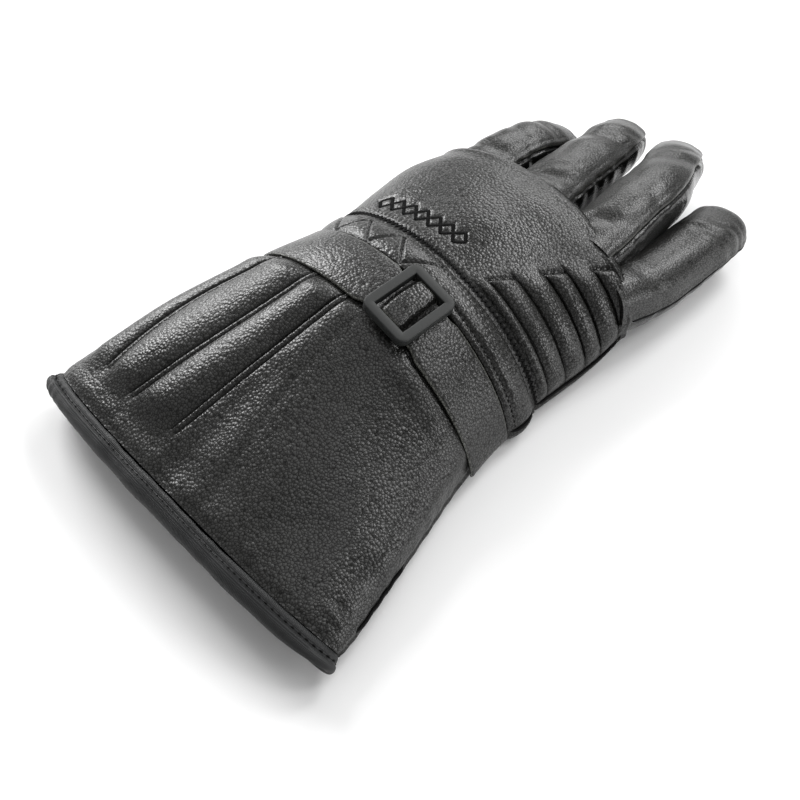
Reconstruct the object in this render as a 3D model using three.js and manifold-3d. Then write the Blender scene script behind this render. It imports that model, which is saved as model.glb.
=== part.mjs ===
// Gauntlet glove for motorcycle riding, right hand, lying palm down.
// Millimetres. +Y runs from the cuff to the fingertips, +X to the little finger, +Z up.
// While it is built, y = 0 is the edge of the leather at the hem and z = 0 the table.
// At the end the whole glove is shifted so that its box stands centred on the origin.

import Module from 'manifold-3d';
import {
  Box3, BufferAttribute, BufferGeometry, ExtrudeGeometry, Group, MathUtils, Mesh,
  MeshStandardMaterial, Path, Shape, Vector3,
} from 'three';
import { mergeVertices } from 'three/addons/utils/BufferGeometryUtils.js';

// Driving dimensions
const LEATHER_WALL = 3;      // leather with its lining
const PADDED_WALL = 4;       // leather over foam, on the wrist and the hand
const SEAM_GAP = 0.3;        // what touching pieces keep clear of each other
const GAUNTLET_END = 121;    // where the gauntlet is sewn to the wrist band
const WRIST_END = 140;       // where the wrist band is sewn to the hand
const WRIST_PUFF = 2.2;      // how far the padded wrist band swells
const BINDING_WIDTH = 9;     // roll of cloth that binds the mouth
const BINDING_THICKNESS = 6;
const STRAP_FROM = 94.6;
const STRAP_WIDTH = 25.8;
const STRAP_THICKNESS = 1.8;
const STRAP_LIFT = 0.8;      // air between the strap and the gauntlet under it
const STRAP_ENDS = [-0.03, Math.PI + 0.03];  // round the section, from seam to seam

// Pintucks: narrow strips sewn down along the back of the gauntlet. Each runs at an angle round
// the section, which leans by this much over every 40 mm and bows by its square.
const PINTUCKS = table(['angle', 'lean', 'bow'], [
  [1.62, -0.06, 0],
  [1.93, -0.07, 0],
  [2.4, 0, -0.1],
]);
const PINTUCK_HALF_WIDTH = 0.021;   // half a strip, as an angle
const PINTUCK_FROM = 8;
const PINTUCK_TO = 96;
const PILLOW_EDGES = [1.4, 2.72];   // where the outermost pillows run out
const PILLOW_HEIGHT = 2.6;          // the leather stands up beside the strips
const PILLOW_SHARES = [0, 0.22, 0.78, 1];

// Sewn ribs on the little-finger side of the hand: each row is one raised bar
const RIBS = table(['from', 'to', 'topFrom', 'topTo'], [
  [148.2, 159.5, 17, 23],
  [172, 183.3, 28, 34],
  [198.5, 208, 39, 45],
]);
const RIB_HEIGHT = 1.6;
const RIB_GROOVE = 1.1;
const RIB_FLANK = 2.4;       // how far from its sewn line a bar reaches its height

// The body of the glove, a row for each cross-section: the widest points left and right, the
// lowest and highest points, the heights of the two side seams, how far the ridge leans, and
// the power of the rounded section above the seams.
const BODY = table(
  ['y', 'left', 'right', 'floor', 'top', 'leftSeam', 'rightSeam', 'lean', 'power'], [
    [-12, -95, 93, 2, 24, 12, 10, 0, 2.6],
    [0, -93, 90, 1, 28, 14, 10, -4, 2.5],
    [30, -88, 82, -1.5, 40, 18, 10, -8, 2.2],
    [60, -84, 73.5, -1.5, 50, 20, 10, -8, 2.0],
    [95, -72.5, 63.5, -1.5, 60, 22, 10, -8, 2.0],
    [120, -67.5, 59.5, -1.5, 61, 20, 10, -8, 2.0],
    [140, -69, 59, -1.5, 59, 20, 10, -8, 2.0],
    [160, -71.5, 59, -1, 59, 22, 10, -8, 2.0],
    [185, -73, 59.5, 3, 58, 24, 11, -6, 2.1],
    [205, -68, 60, 9, 56, 25, 14, -4, 2.3],
    [222, -65, 60, 13, 49, 28, 20, -2, 2.5],
  ]);
const PALM_POWER = 3.2;      // the section below the seams is boxier
const HEM_BOW = 9;           // the upper lip of the mouth runs out over the lower one
const HEM_BOW_REACH = 60;
const KNUCKLE_BOW = 17;      // the front edge of the hand curves back at both sides
const KNUCKLE_FROM = 170;
const KNUCKLE_REACH = 48;
const KNUCKLE_CENTRE = -18;
const KNUCKLE_SPAN = 78;
const HAND_FRONT = 211;      // where the padded front edge starts to turn down
const HAND_FRONT_RADIUS = 9;

// Fingers and thumb, a row for each cross-section square to the centre line, root to tip
const FINGER_COLUMNS = ['x', 'y', 'z', 'halfWidth', 'halfHeight'];
const FINGER_POWER = 2.4;
const FINGERS = {
  index: {
    seams: [0.72, 0], fold: 0.62, foldDepth: 0.6,
    rows: table(FINGER_COLUMNS, [
      [-46.8, 212, 32, 14.6, 14.8],
      [-47, 229, 32.3, 14.1, 14.3],
      [-46.5, 244, 30.5, 13.7, 13.8],
      [-45.5, 257, 26.6, 13.2, 12.3],
      [-46.4, 264.5, 22.5, 12.2, 10.9],
    ]),
  },
  middle: {
    seams: [0.58, 0.58], fold: 0.6, foldDepth: 1.4,
    rows: table(FINGER_COLUMNS, [
      [-11.3, 216, 35.5, 16, 15.1],
      [-14, 237.5, 34.7, 15, 14.2],
      [-16.8, 258.5, 31.7, 14.5, 13.6],
      [-20.3, 278, 28.4, 13.6, 12.7],
      [-24, 290, 23.6, 12.5, 11.7],
    ]),
  },
  ring: {
    seams: [0.66, 0.58], fold: 0.66, foldDepth: 1.4,
    rows: table(FINGER_COLUMNS, [
      [26, 212, 36, 16.5, 15],
      [23, 239, 36, 15.9, 15],
      [19.5, 263, 33.5, 15.4, 14.5],
      [10.5, 287, 27, 14.2, 13.3],
      [4, 302.5, 19, 13.4, 11.8],
    ]),
  },
  little: {
    seams: [-0.05, 0.6], fold: 0.72, foldDepth: 0.5,
    rows: table(FINGER_COLUMNS, [
      [45.5, 204, 24, 15.5, 15.5],
      [48.2, 223.5, 21, 15.5, 14.8],
      [49, 243, 20, 15.2, 14],
      [49.3, 264.5, 20.2, 14.3, 13.2],
      [47.8, 279, 18, 13.8, 12],
    ]),
  },
};
const THUMB = {
  fold: 0.6, foldDepth: 0.5,
  rows: table(FINGER_COLUMNS, [
    [-40, 151, 22, 14, 13],
    [-51, 162, 17.5, 14.5, 12.5],
    [-60, 174, 13.5, 14.5, 12.2],
    [-64, 188, 12.4, 14.2, 12.1],
    [-62, 200, 12.2, 13.2, 11.8],
  ]),
};
const FOLD_WIDTH = 0.06;     // of the length from root to tip
const ROOT_FROM = -0.05;     // a finger's skin starts this share of its length before its root
const HOLLOW_FROM = -0.12;   // and its hollow this share, so that it opens into the hand

// Slide buckle on the strap
const BUCKLE = { x: 11, length: 26, width: 31.5, height: 4.6, rail: 3.8, corner: 4.5 };
const BUCKLE_BAR = { width: 3, height: 1.6 };
const BUCKLE_LIFT = 0.7;     // the frame stands clear of the strap's ridge
const BAR_CLEARANCE = 0.9;
const HUMP_REACH = 8.8;      // the strap bends up over the bar within this of the middle
const STRAP_SQUEEZE = 1.5;   // how much narrower the strap is inside the buckle, each side

const BLACK_LEATHER = { color: 0x343531, roughness: 0.45, metalness: 0 };
const FINGER_LEATHER = { color: 0x3a3b37, roughness: 0.4, metalness: 0 };
const PALM_LEATHER = { color: 0x2d2e2b, roughness: 0.55, metalness: 0 };
const BINDING_CLOTH = { color: 0x24272a, roughness: 0.7, metalness: 0 };
const DARK_PLASTIC = { color: 0x4a4b47, roughness: 0.5, metalness: 0 };

const wasm = await Module();
wasm.setup();

function table(columns, rows) {
  return rows.map((row) => Object.fromEntries(columns.map((name, k) => [name, row[k]])));
}

/** Smooth curve through the rows of a table: cubic pieces whose slopes weigh both neighbours. */
function along(rows, key, column, at) {
  const last = rows.length - 1;
  const x = MathUtils.clamp(at, rows[0][key], rows[last][key]);
  let k = 0;
  while (k < last - 1 && x >= rows[k + 1][key]) k += 1;
  const step = (i) => rows[i + 1][key] - rows[i][key];
  const rise = (i) => (rows[i + 1][column] - rows[i][column]) / step(i);
  const slope = (i) => {
    if (i === 0) return rise(0);
    if (i === last) return rise(last - 1);
    return (rise(i - 1) * step(i) + rise(i) * step(i - 1)) / (step(i - 1) + step(i));
  };
  const t = (x - rows[k][key]) / step(k);
  const t2 = t * t;
  const t3 = t2 * t;
  return (2 * t3 - 3 * t2 + 1) * rows[k][column] + (t3 - 2 * t2 + t) * step(k) * slope(k)
    + (3 * t2 - 2 * t3) * rows[k + 1][column] + (t3 - t2) * step(k) * slope(k + 1);
}

const signedPower = (value, power) => Math.sign(value) * Math.abs(value) ** power;
const bell = (distance, width) => Math.exp(-((distance / width) ** 2));
const spread = (count, from, to) => Array.from(
  { length: count }, (_, k) => from + ((to - from) * k) / (count - 1));

/** A point of the body's skin: angle 0 is the right seam, a quarter turn the ridge, half a turn
 * the left seam. The skin is moved inwards by inset. */
function bodyPoint(angle, y, inset = 0) {
  const at = (column) => along(BODY, 'y', column, y);
  const c = Math.cos(angle);
  const s = Math.sin(angle);
  const above = s >= 0;
  const power = 2 / (above ? at('power') : PALM_POWER);
  const cx = signedPower(c, power);
  const sz = signedPower(s, power);
  const left = at('left') + inset;
  const right = at('right') - inset;
  const low = at('floor') + inset;
  const high = at('top') - inset;
  const seamLine = (at('leftSeam') + at('rightSeam')) / 2
    + ((at('rightSeam') - at('leftSeam')) / 2) * cx;
  const seam = MathUtils.clamp(seamLine, low + 1, high - 1);
  const x = (left + right) / 2 + ((right - left) / 2) * cx + (above ? at('lean') * sz : 0);
  const z = Math.max(seam + (above ? high - seam : seam - low) * sz, inset);
  const hemBow = HEM_BOW * MathUtils.clamp(1 - y / HEM_BOW_REACH, 0, 1) ** 2;
  const knuckle = MathUtils.clamp((y - KNUCKLE_FROM) / KNUCKLE_REACH, 0, 1) ** 1.5;
  const knuckleBow = KNUCKLE_BOW * knuckle * ((x - KNUCKLE_CENTRE) / KNUCKLE_SPAN) ** 2;
  return new Vector3(x, y - hemBow * Math.max(s, 0) - knuckleBow, z);
}

/** The same skin pushed outwards along the section's own normal. */
function swollenPoint(angle, y, swell) {
  const step = 0.02;
  const chord = bodyPoint(angle + step, y).sub(bodyPoint(angle - step, y));
  const normal = new Vector3(chord.z, 0, -chord.x).normalize();
  const point = bodyPoint(angle, y).addScaledVector(normal, swell);
  point.z = Math.max(point.z, 0);
  return point;
}

/** The skin with a relief on its back, given as a height over x and y. */
function reliefPoint(angle, y, relief) {
  return swollenPoint(angle, y, Math.sin(angle) > 0 ? relief(bodyPoint(angle, y).x, y) : 0);
}

/** The angle round the back at which the body's skin passes over x. */
function angleAbove(x, y) {
  let low = 0;
  let high = Math.PI;
  for (let k = 0; k < 30; k += 1) {
    const middle = (low + high) / 2;
    if (bodyPoint(middle, y).x > x) low = middle;
    else high = middle;
  }
  return (low + high) / 2;
}

/** Six times the volume that the faces enclose, below zero where they face inwards. */
function signedVolume(positions, faces) {
  const normal = new Vector3();
  return faces.reduce((sum, [a, b, c]) => (
    sum + normal.crossVectors(positions[a], positions[b]).dot(positions[c])), 0);
}

/** Closed solid from rings of points: point(column, row) gives the vertex. The first and last
 * ring are closed by fans; a loop of rings joins its last ring to its first instead. */
function rings(columns, rows, point, loop = false) {
  const positions = [];
  const faces = [];
  rows.forEach((row) => columns.forEach((column) => positions.push(point(column, row))));
  const n = columns.length;
  const vertex = (j, i) => (j % rows.length) * n + (i % n);
  const lastRing = loop ? rows.length : rows.length - 1;
  for (let j = 0; j < lastRing; j += 1) {
    for (let i = 0; i < n; i += 1) {
      faces.push([vertex(j, i), vertex(j, i + 1), vertex(j + 1, i + 1)]);
      faces.push([vertex(j, i), vertex(j + 1, i + 1), vertex(j + 1, i)]);
    }
  }
  if (!loop) {
    [[0, false], [rows.length - 1, true]].forEach(([j, end]) => {
      const centre = new Vector3();
      for (let i = 0; i < n; i += 1) centre.add(positions[vertex(j, i)]);
      positions.push(centre.divideScalar(n));
      const middle = positions.length - 1;
      for (let i = 0; i < n; i += 1) {
        faces.push(end
          ? [vertex(j, i), vertex(j, i + 1), middle]
          : [vertex(j, i + 1), vertex(j, i), middle]);
      }
    });
  }
  if (signedVolume(positions, faces) < 0) faces.forEach((face) => face.reverse());
  const geometry = new BufferGeometry();
  geometry.setAttribute('position', new BufferAttribute(
    new Float32Array(positions.flatMap((p) => [p.x, p.y, p.z])), 3));
  geometry.setIndex(faces.flat());
  return geometry;
}

function toSolid(geometry) {
  geometry.deleteAttribute('normal');
  geometry.deleteAttribute('uv');
  const merged = mergeVertices(geometry, 1e-4);
  const solid = new wasm.Manifold(new wasm.Mesh({
    numProp: 3,
    vertProperties: new Float32Array(merged.attributes.position.array),
    triVerts: new Uint32Array(merged.index.array),
  }));
  if (solid.volume() <= 0) throw new Error('a solid is inside out');
  return solid;
}

function toGeometry(solid) {
  const mesh = solid.getMesh();
  const geometry = new BufferGeometry();
  geometry.setAttribute('position', new BufferAttribute(new Float32Array(mesh.vertProperties), 3));
  geometry.setIndex(Array.from(mesh.triVerts));
  return geometry;
}

const glove = new Group();

function addPiece(name, geometry, finish) {
  const shaded = geometry.toNonIndexed();
  shaded.computeVertexNormals();
  const piece = new Mesh(shaded, new MeshStandardMaterial(finish));
  piece.name = name;
  glove.add(piece);
}

/** Everything above the side seams (side = 1) or below them (side = -1), less half the gap. */
function besideSeams(side, from, to) {
  const far = 120;
  const corner = (k, y) => {
    const at = (column) => along(BODY, 'y', column, y);
    const tilt = (at('rightSeam') - at('leftSeam')) / (at('right') - at('left'));
    const x = k === 0 || k === 3 ? far : -far;
    const seam = at('rightSeam') + tilt * (x - at('right')) + (side * SEAM_GAP) / 2;
    return new Vector3(x, y, k < 2 ? seam + side * far : seam);
  };
  return toSolid(rings([0, 1, 2, 3], spread(13, from, to), corner));
}

/** The skin over its own columns, closed round the other side by a few more. */
function closedSkin(side, columns, rows, skin) {
  const from = side > 0 ? Math.PI : 0;
  const others = spread(7, from, from + Math.PI).slice(1, -1);
  return toSolid(rings(side > 0 ? [...columns, ...others] : [...others, ...columns], rows, skin));
}

/** One panel of the body: a closed skin, hollowed, and cut along the side seams. */
function panel(side, columns, rows, skin, hollow) {
  const margin = 30;
  const cut = besideSeams(side, rows[0].y - margin, rows[rows.length - 1].y + margin);
  return closedSkin(side, columns, rows, skin).subtract(hollow).intersect(cut);
}

/** The hollow of a stretch of the body, which runs past both its ends. */
function stretchHollow(from, to, thickness, count) {
  const overshoot = 4;
  return toSolid(rings(
    spread(25, 0, 2 * Math.PI).slice(0, -1), spread(count, from - overshoot, to + overshoot),
    (angle, y) => bodyPoint(angle, y, thickness)));
}

/** Rows of a stretch, whose first and last turn in across the edge of the wall. */
function stretchRows(ys, thickness) {
  const inset = thickness + 2;
  return [
    { y: ys[0], inset },
    ...ys.map((y) => ({ y, inset: 0 })),
    { y: ys[ys.length - 1], inset },
  ];
}

// Gauntlet

const palmColumns = spread(11, Math.PI, 2 * Math.PI);

/** The angles of the pintucks at a place along the gauntlet, between the outer pillows' edges. */
function pillowLines(y) {
  const way = (y - 50) / 40;
  const tucks = PINTUCKS.map((tuck) => tuck.angle + tuck.lean * way + tuck.bow * way * way);
  return [PILLOW_EDGES[0], ...tucks, PILLOW_EDGES[1]];
}

/** The span of one pillow, from strip to strip. */
function pillowSpan(k, y) {
  const lines = pillowLines(y);
  return [lines[k] + PINTUCK_HALF_WIDTH, lines[k + 1] - PINTUCK_HALF_WIDTH];
}

/** Half an oval over each pillow, and nothing over the strips. */
function pintuckRelief(angle, y) {
  const fade = MathUtils.smoothstep(y, PINTUCK_FROM, PINTUCK_FROM + 10)
    * (1 - MathUtils.smoothstep(y, PINTUCK_TO - 10, PINTUCK_TO));
  const k = pillowLines(y).findLastIndex((line) => line <= angle);
  if (k < 0 || k > PINTUCKS.length) return 0;
  const [from, to] = pillowSpan(k, y);
  const share = MathUtils.clamp((angle - from) / (to - from), 0, 1);
  return fade * PILLOW_HEIGHT * (4 * share * (1 - share)) ** 0.7;
}

/** Columns of the gauntlet's skin: most follow the pillows, the rest share out the angles. */
function gauntletColumns() {
  const last = PINTUCKS.length;
  const columns = spread(8, 0, 1).slice(0, -1).map((share) => ({ from: 0, to: [0, 0], share }));
  for (let k = 0; k <= last; k += 1) {
    PILLOW_SHARES.forEach((share) => columns.push({ pillow: k, share }));
  }
  spread(4, 0, 1).slice(1).forEach((share) => columns.push({ from: [last, 1], to: Math.PI, share }));
  return columns;
}

/** An angle as it is, or that of a pillow's first or second edge. */
function edgeAngle(edge, y) {
  return typeof edge === 'number' ? edge : pillowSpan(edge[0], y)[edge[1]];
}

function columnAngle(column, y) {
  if (typeof column === 'number') return column;
  const inPillow = column.pillow !== undefined;
  const from = edgeAngle(inPillow ? [column.pillow, 0] : column.from, y);
  const to = edgeAngle(inPillow ? [column.pillow, 1] : column.to, y);
  return from + (to - from) * column.share;
}

const gauntletTo = GAUNTLET_END - SEAM_GAP;
const gauntletHollow = stretchHollow(0, gauntletTo, LEATHER_WALL, 8);
const gauntletSkin = (column, row) => {
  const angle = columnAngle(column, row.y);
  if (row.inset > 0) return bodyPoint(angle, row.y, row.inset);
  return swollenPoint(angle, row.y, Math.sin(angle) > 0 ? pintuckRelief(angle, row.y) : 0);
};
addPiece('gauntlet_back', toGeometry(panel(
  1, gauntletColumns(), stretchRows([0, 9, 18, 34, 52, 70, 86, 96, 108, gauntletTo], LEATHER_WALL),
  gauntletSkin, gauntletHollow)), BLACK_LEATHER);
addPiece('gauntlet_palm', toGeometry(panel(
  -1, palmColumns, stretchRows([0, 15, 30, 60, 90, gauntletTo], LEATHER_WALL),
  gauntletSkin, gauntletHollow)), PALM_LEATHER);

// Binding: a flat roll of cloth round the mouth

const bindingMiddle = -SEAM_GAP - BINDING_WIDTH / 2;
addPiece('hem_binding', rings(
  spread(8, 0, 2 * Math.PI).slice(0, -1),
  spread(33, 0, 2 * Math.PI).slice(0, -1),
  (round, angle) => {
    const inset = LEATHER_WALL / 2 - (BINDING_THICKNESS / 2) * Math.cos(round);
    const y = bindingMiddle - (BINDING_WIDTH / 2) * signedPower(Math.sin(round), 0.7);
    const point = bodyPoint(angle, 0, inset);
    const outer = bodyPoint(angle, Math.max(y, BODY[0].y), inset);
    return new Vector3(outer.x, point.y + y, Math.max(outer.z, 0));
  }, true), BINDING_CLOTH);

// Wrist band

const wristFrom = GAUNTLET_END + SEAM_GAP;
const wristTo = WRIST_END - SEAM_GAP;
const wristHollow = stretchHollow(wristFrom, wristTo, PADDED_WALL, 3);
const wristSkin = (angle, row) => {
  const share = MathUtils.clamp((row.y - wristFrom) / (wristTo - wristFrom), 0, 1);
  return row.inset > 0
    ? bodyPoint(angle, row.y, row.inset)
    : swollenPoint(angle, row.y, WRIST_PUFF * Math.sqrt(Math.sin(Math.PI * share)));
};
addPiece('wrist_band_back', toGeometry(panel(
  1, spread(17, 0, Math.PI), stretchRows(spread(6, wristFrom, wristTo), PADDED_WALL),
  wristSkin, wristHollow)), BLACK_LEATHER);
addPiece('wrist_band_palm', toGeometry(panel(
  -1, palmColumns, stretchRows(spread(4, wristFrom, wristTo), PADDED_WALL),
  wristSkin, wristHollow)), PALM_LEATHER);

// Fingers

/** Place, direction and size of a finger at a share of its length; before 0 it runs straight on. */
function fingerFrame(finger, share) {
  const rows = finger.rows.map((row, k) => ({ ...row, k: k / (finger.rows.length - 1) }));
  const at = (column, k) => along(rows, 'k', column, k);
  const place = (k) => new Vector3(at('x', k), at('y', k), at('z', k));
  const inside = MathUtils.clamp(share, 0, 1);
  const step = 1e-3;
  const low = Math.min(inside, 1 - step);
  const direction = place(low + step).sub(place(low)).normalize();
  const side = new Vector3().crossVectors(direction, new Vector3(0, 0, 1)).normalize();
  const up = new Vector3().crossVectors(side, direction);
  const length = rows[rows.length - 1].y - rows[0].y;
  const centre = place(inside).addScaledVector(direction, (share - inside) * length);
  const halfWidth = at('halfWidth', inside);
  const halfHeight = at('halfHeight', inside);
  return { centre, direction, side, up, halfWidth, halfHeight };
}

/** A point of a finger's skin. After share 1 the round tip follows, up to share 2. */
function fingerPoint(finger, angle, share, inset) {
  const frame = fingerFrame(finger, Math.min(share, 1));
  const tip = Math.max(share - 1, 0);
  const shrink = Math.sqrt(Math.max(1 - tip * tip, 0));
  const fold = finger.foldDepth * bell(share - finger.fold, FOLD_WIDTH);
  const crease = fold * Math.max(Math.sin(angle), 0);
  const power = 2 / FINGER_POWER;
  const across = (frame.halfWidth - inset) * shrink * signedPower(Math.cos(angle), power);
  const high = (frame.halfHeight - inset) * shrink * signedPower(Math.sin(angle), power);
  return frame.centre
    .addScaledVector(frame.direction, tip * (frame.halfHeight - inset))
    .addScaledVector(frame.side, across)
    .addScaledVector(frame.up, high - (inset > 0 ? 0 : crease));
}

const TIP_SHARES = [1.5, 1.83, 1.98];

function fingerSolid(finger, inset, from = 0) {
  const fold = finger.fold;
  const shares = inset > 0
    ? [...spread(5, from, 1), 1.5, 1.85]
    : [from, 0.3, fold - 0.07, fold, fold + 0.07, 0.86, 1, ...TIP_SHARES];
  const columns = spread(inset > 0 ? 11 : 15, 0, 2 * Math.PI).slice(0, -1);
  return toSolid(rings(columns, shares, (angle, share) => fingerPoint(finger, angle, share, inset)));
}

/** Everything above a finger's two side seams (side = 1), or below them (side = -1). */
function besideFingerSeams(finger, side) {
  const far = 26;
  const middle = (finger.seams[0] + finger.seams[1]) / 2;
  const corner = (k, share) => {
    const frame = fingerFrame(finger, share);
    const right = k === 0 || k === 3;
    const slant = (finger.seams[right ? 0 : 1] - middle) * (far / frame.halfWidth);
    const seam = frame.halfHeight * (middle + slant) + (side * SEAM_GAP) / 2;
    return frame.centre
      .addScaledVector(frame.side, right ? far : -far)
      .addScaledVector(frame.up, k < 2 ? seam + 2 * side * far : seam);
  };
  return toSolid(rings([0, 1, 2, 3], [-0.3, 0, 0.25, 0.5, 0.75, 1, 1.4], corner));
}

// Hand

function ribRelief(x, y) {
  return RIBS.reduce((sum, rib) => {
    const edge = rib.topFrom + ((rib.topTo - rib.topFrom) * (y - rib.from)) / (rib.to - rib.from);
    const inside = MathUtils.smoothstep(x, edge - 3, edge + 3);
    const bar = RIB_HEIGHT * MathUtils.smoothstep(Math.min(y - rib.from, rib.to - y), 0, RIB_FLANK);
    const nearLine = bell(y - rib.from, RIB_FLANK / 2) + bell(y - rib.to, RIB_FLANK / 2);
    const grooves = RIB_GROOVE * nearLine;
    return sum + inside * (bar - grooves);
  }, 0);
}

/** Rows of the back of the hand: one on each sewn line and one on either side of it. */
function ribRows() {
  const lines = RIBS.flatMap((rib) => [rib.from, rib.to]);
  const rows = lines.flatMap((y) => [y - RIB_FLANK, y, y + RIB_FLANK]);
  return [WRIST_END + SEAM_GAP, 144, ...rows].map((y) => ({ y, turn: 0 }));
}

function handPoint(angle, row, inset = 0) {
  const radius = HAND_FRONT_RADIUS;
  if (inset === 0 && row.turn === 0) return reliefPoint(angle, row.y, ribRelief);
  const drawn = inset + radius * (1 - Math.cos(row.turn));
  const point = bodyPoint(angle, row.y + (radius - inset) * Math.sin(row.turn), drawn);
  point.z = Math.max(point.z, inset);
  return point;
}

/** Rows of the front edge, which turns down in a quarter round. */
const frontRows = (count) => spread(count, 0, Math.PI / 2).map((turn) => ({ y: HAND_FRONT, turn }));
const handFrom = WRIST_END + SEAM_GAP;
const handBackRows = [...ribRows(), ...frontRows(5)];
const handPalmRows = [...spread(6, handFrom, 200).map((y) => ({ y, turn: 0 })), ...frontRows(5)];
const handBackColumns = [...spread(8, 0, 1.3), ...spread(6, 1.6, Math.PI)];

const handHollow = toSolid(rings(
  spread(21, 0, 2 * Math.PI).slice(0, -1),
  [...spread(5, handFrom - 4, 200).map((y) => ({ y, turn: 0 })), ...frontRows(4)],
  (angle, row) => handPoint(angle, row, PADDED_WALL)));
const grown = (side, columns, rows) => closedSkin(
  side, columns, rows, (angle, row) => handPoint(angle, row, -2 * SEAM_GAP));
const thumbClear = fingerSolid(THUMB, -SEAM_GAP, -0.01);
const thumbBay = fingerSolid(THUMB, -SEAM_GAP - LEATHER_WALL, -0.09);
const thumbHollow = fingerSolid(THUMB, LEATHER_WALL, -0.25);
const fingerHollows = Object.values(FINGERS).map(
  (finger) => fingerSolid(finger, LEATHER_WALL, HOLLOW_FROM));

function addHandPanel(name, side, columns, rows, finish) {
  let wall = panel(side, columns, rows, handPoint, handHollow.subtract(thumbBay));
  [thumbClear, thumbHollow, ...fingerHollows].forEach((hole) => {
    wall = wall.subtract(hole);
  });
  addPiece(name, toGeometry(wall), finish);
}

addHandPanel('hand_back', 1, handBackColumns, handBackRows, BLACK_LEATHER);
addHandPanel('hand_palm', -1, palmColumns, handPalmRows, PALM_LEATHER);

let taken = grown(1, handBackColumns, handBackRows).add(grown(-1, palmColumns, handPalmRows));
Object.entries(FINGERS).forEach(([name, finger]) => {
  const wall = fingerSolid(finger, 0, ROOT_FROM)
    .subtract(fingerSolid(finger, LEATHER_WALL, HOLLOW_FROM))
    .subtract(taken);
  const above = wall.intersect(besideFingerSeams(finger, 1));
  const below = wall.intersect(besideFingerSeams(finger, -1));
  addPiece(`${name}_finger_back`, toGeometry(above), FINGER_LEATHER);
  addPiece(`${name}_finger_palm`, toGeometry(below), PALM_LEATHER);
  taken = taken.add(fingerSolid(finger, -SEAM_GAP, HOLLOW_FROM));
});
addPiece('thumb', toGeometry(fingerSolid(THUMB, 0).subtract(thumbHollow)), PALM_LEATHER);

// Strap and buckle

const strapMiddle = STRAP_FROM + STRAP_WIDTH / 2;
const strapOuter = STRAP_LIFT + STRAP_THICKNESS;
const buckleSeat = bodyPoint(angleAbove(BUCKLE.x, strapMiddle), strapMiddle, -strapOuter);
const overBar = BUCKLE_LIFT + BUCKLE_BAR.height + BAR_CLEARANCE + STRAP_THICKNESS;

/** How far a place on the strap is from the middle of the buckle. */
function fromBuckle(angle) {
  return Math.abs(bodyPoint(angle, strapMiddle, -strapOuter - overBar / 2).x - buckleSeat.x);
}

function strapPoint(corner, angle) {
  const away = fromBuckle(angle);
  const squeeze = STRAP_SQUEEZE * (1 - MathUtils.smoothstep(away, 13, 20));
  const nearCuff = corner === 0 || corner === 3;
  const y = nearCuff ? STRAP_FROM + squeeze : STRAP_FROM + STRAP_WIDTH - squeeze;
  const overTheBar = overBar * (1 - MathUtils.smoothstep(away, BUCKLE_BAR.width + 0.5, HUMP_REACH));
  const lift = STRAP_LIFT + (corner < 2 ? STRAP_THICKNESS : 0) + overTheBar;
  const point = bodyPoint(angle, y, -lift);
  point.z = Math.max(point.z, SEAM_GAP);
  return point;
}

const buckleAngle = angleAbove(BUCKLE.x, strapMiddle);
const strapAngles = [
  ...spread(11, STRAP_ENDS[0], buckleAngle - 0.24),
  ...spread(13, buckleAngle - 0.19, buckleAngle + 0.19),
  ...spread(14, buckleAngle + 0.24, STRAP_ENDS[1]),
];
addPiece('strap', toGeometry(toSolid(rings([0, 1, 2, 3], strapAngles, strapPoint))), BLACK_LEATHER);

function roundedOutline(target, width, length, corner) {
  const x = length / 2;
  const y = width / 2;
  target.moveTo(x, y - corner);
  target.absarc(x - corner, y - corner, corner, 0, Math.PI / 2);
  target.absarc(-x + corner, y - corner, corner, Math.PI / 2, Math.PI);
  target.absarc(-x + corner, -y + corner, corner, Math.PI, 1.5 * Math.PI);
  target.absarc(x - corner, -y + corner, corner, 1.5 * Math.PI, 2 * Math.PI);
  target.closePath();
  return target;
}

function buckleGeometry() {
  const bevel = 0.7;
  const outline = roundedOutline(
    new Shape(), BUCKLE.width - 2 * bevel, BUCKLE.length - 2 * bevel, BUCKLE.corner - bevel);
  const inner = 2 * (BUCKLE.rail - bevel);
  outline.holes.push(roundedOutline(new Path(), BUCKLE.width - inner, BUCKLE.length - inner, 1.5));
  const frame = new ExtrudeGeometry(outline, {
    depth: BUCKLE.height - 2 * bevel,
    bevelThickness: bevel,
    bevelSize: bevel,
    bevelSegments: 1,
    curveSegments: 2,
  });
  frame.translate(0, 0, bevel);
  const section = new Shape();
  const barHalf = BUCKLE_BAR.height / 2;
  section.absellipse(0, barHalf, BUCKLE_BAR.width / 2, barHalf, 0, 2 * Math.PI);
  const barLength = BUCKLE.width - BUCKLE.rail;
  const bar = new ExtrudeGeometry(section, { depth: barLength, bevelEnabled: false, curveSegments: 3 });
  bar.translate(0, 0, -barLength / 2);
  bar.rotateX(Math.PI / 2);
  return toGeometry(toSolid(frame).add(toSolid(bar)));
}

const ahead = bodyPoint(buckleAngle - 0.05, strapMiddle);
const behind = bodyPoint(buckleAngle + 0.05, strapMiddle);
const towardsCuff = bodyPoint(buckleAngle, STRAP_FROM);
const towardsWrist = bodyPoint(buckleAngle, STRAP_FROM + STRAP_WIDTH);
const buckle = buckleGeometry();
buckle.translate(0, 0, BUCKLE_LIFT);
buckle.rotateX(Math.atan2(towardsWrist.z - towardsCuff.z, STRAP_WIDTH));
buckle.rotateY(-Math.atan2(ahead.z - behind.z, ahead.x - behind.x));
buckle.translate(buckleSeat.x, buckleSeat.y, buckleSeat.z);
addPiece('buckle', buckle, DARK_PLASTIC);

const box = new Box3().setFromObject(glove);
glove.position.set(-(box.min.x + box.max.x) / 2, -(box.min.y + box.max.y) / 2, -box.min.z);
const part = new Group();
part.add(glove);

export default part;
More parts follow.
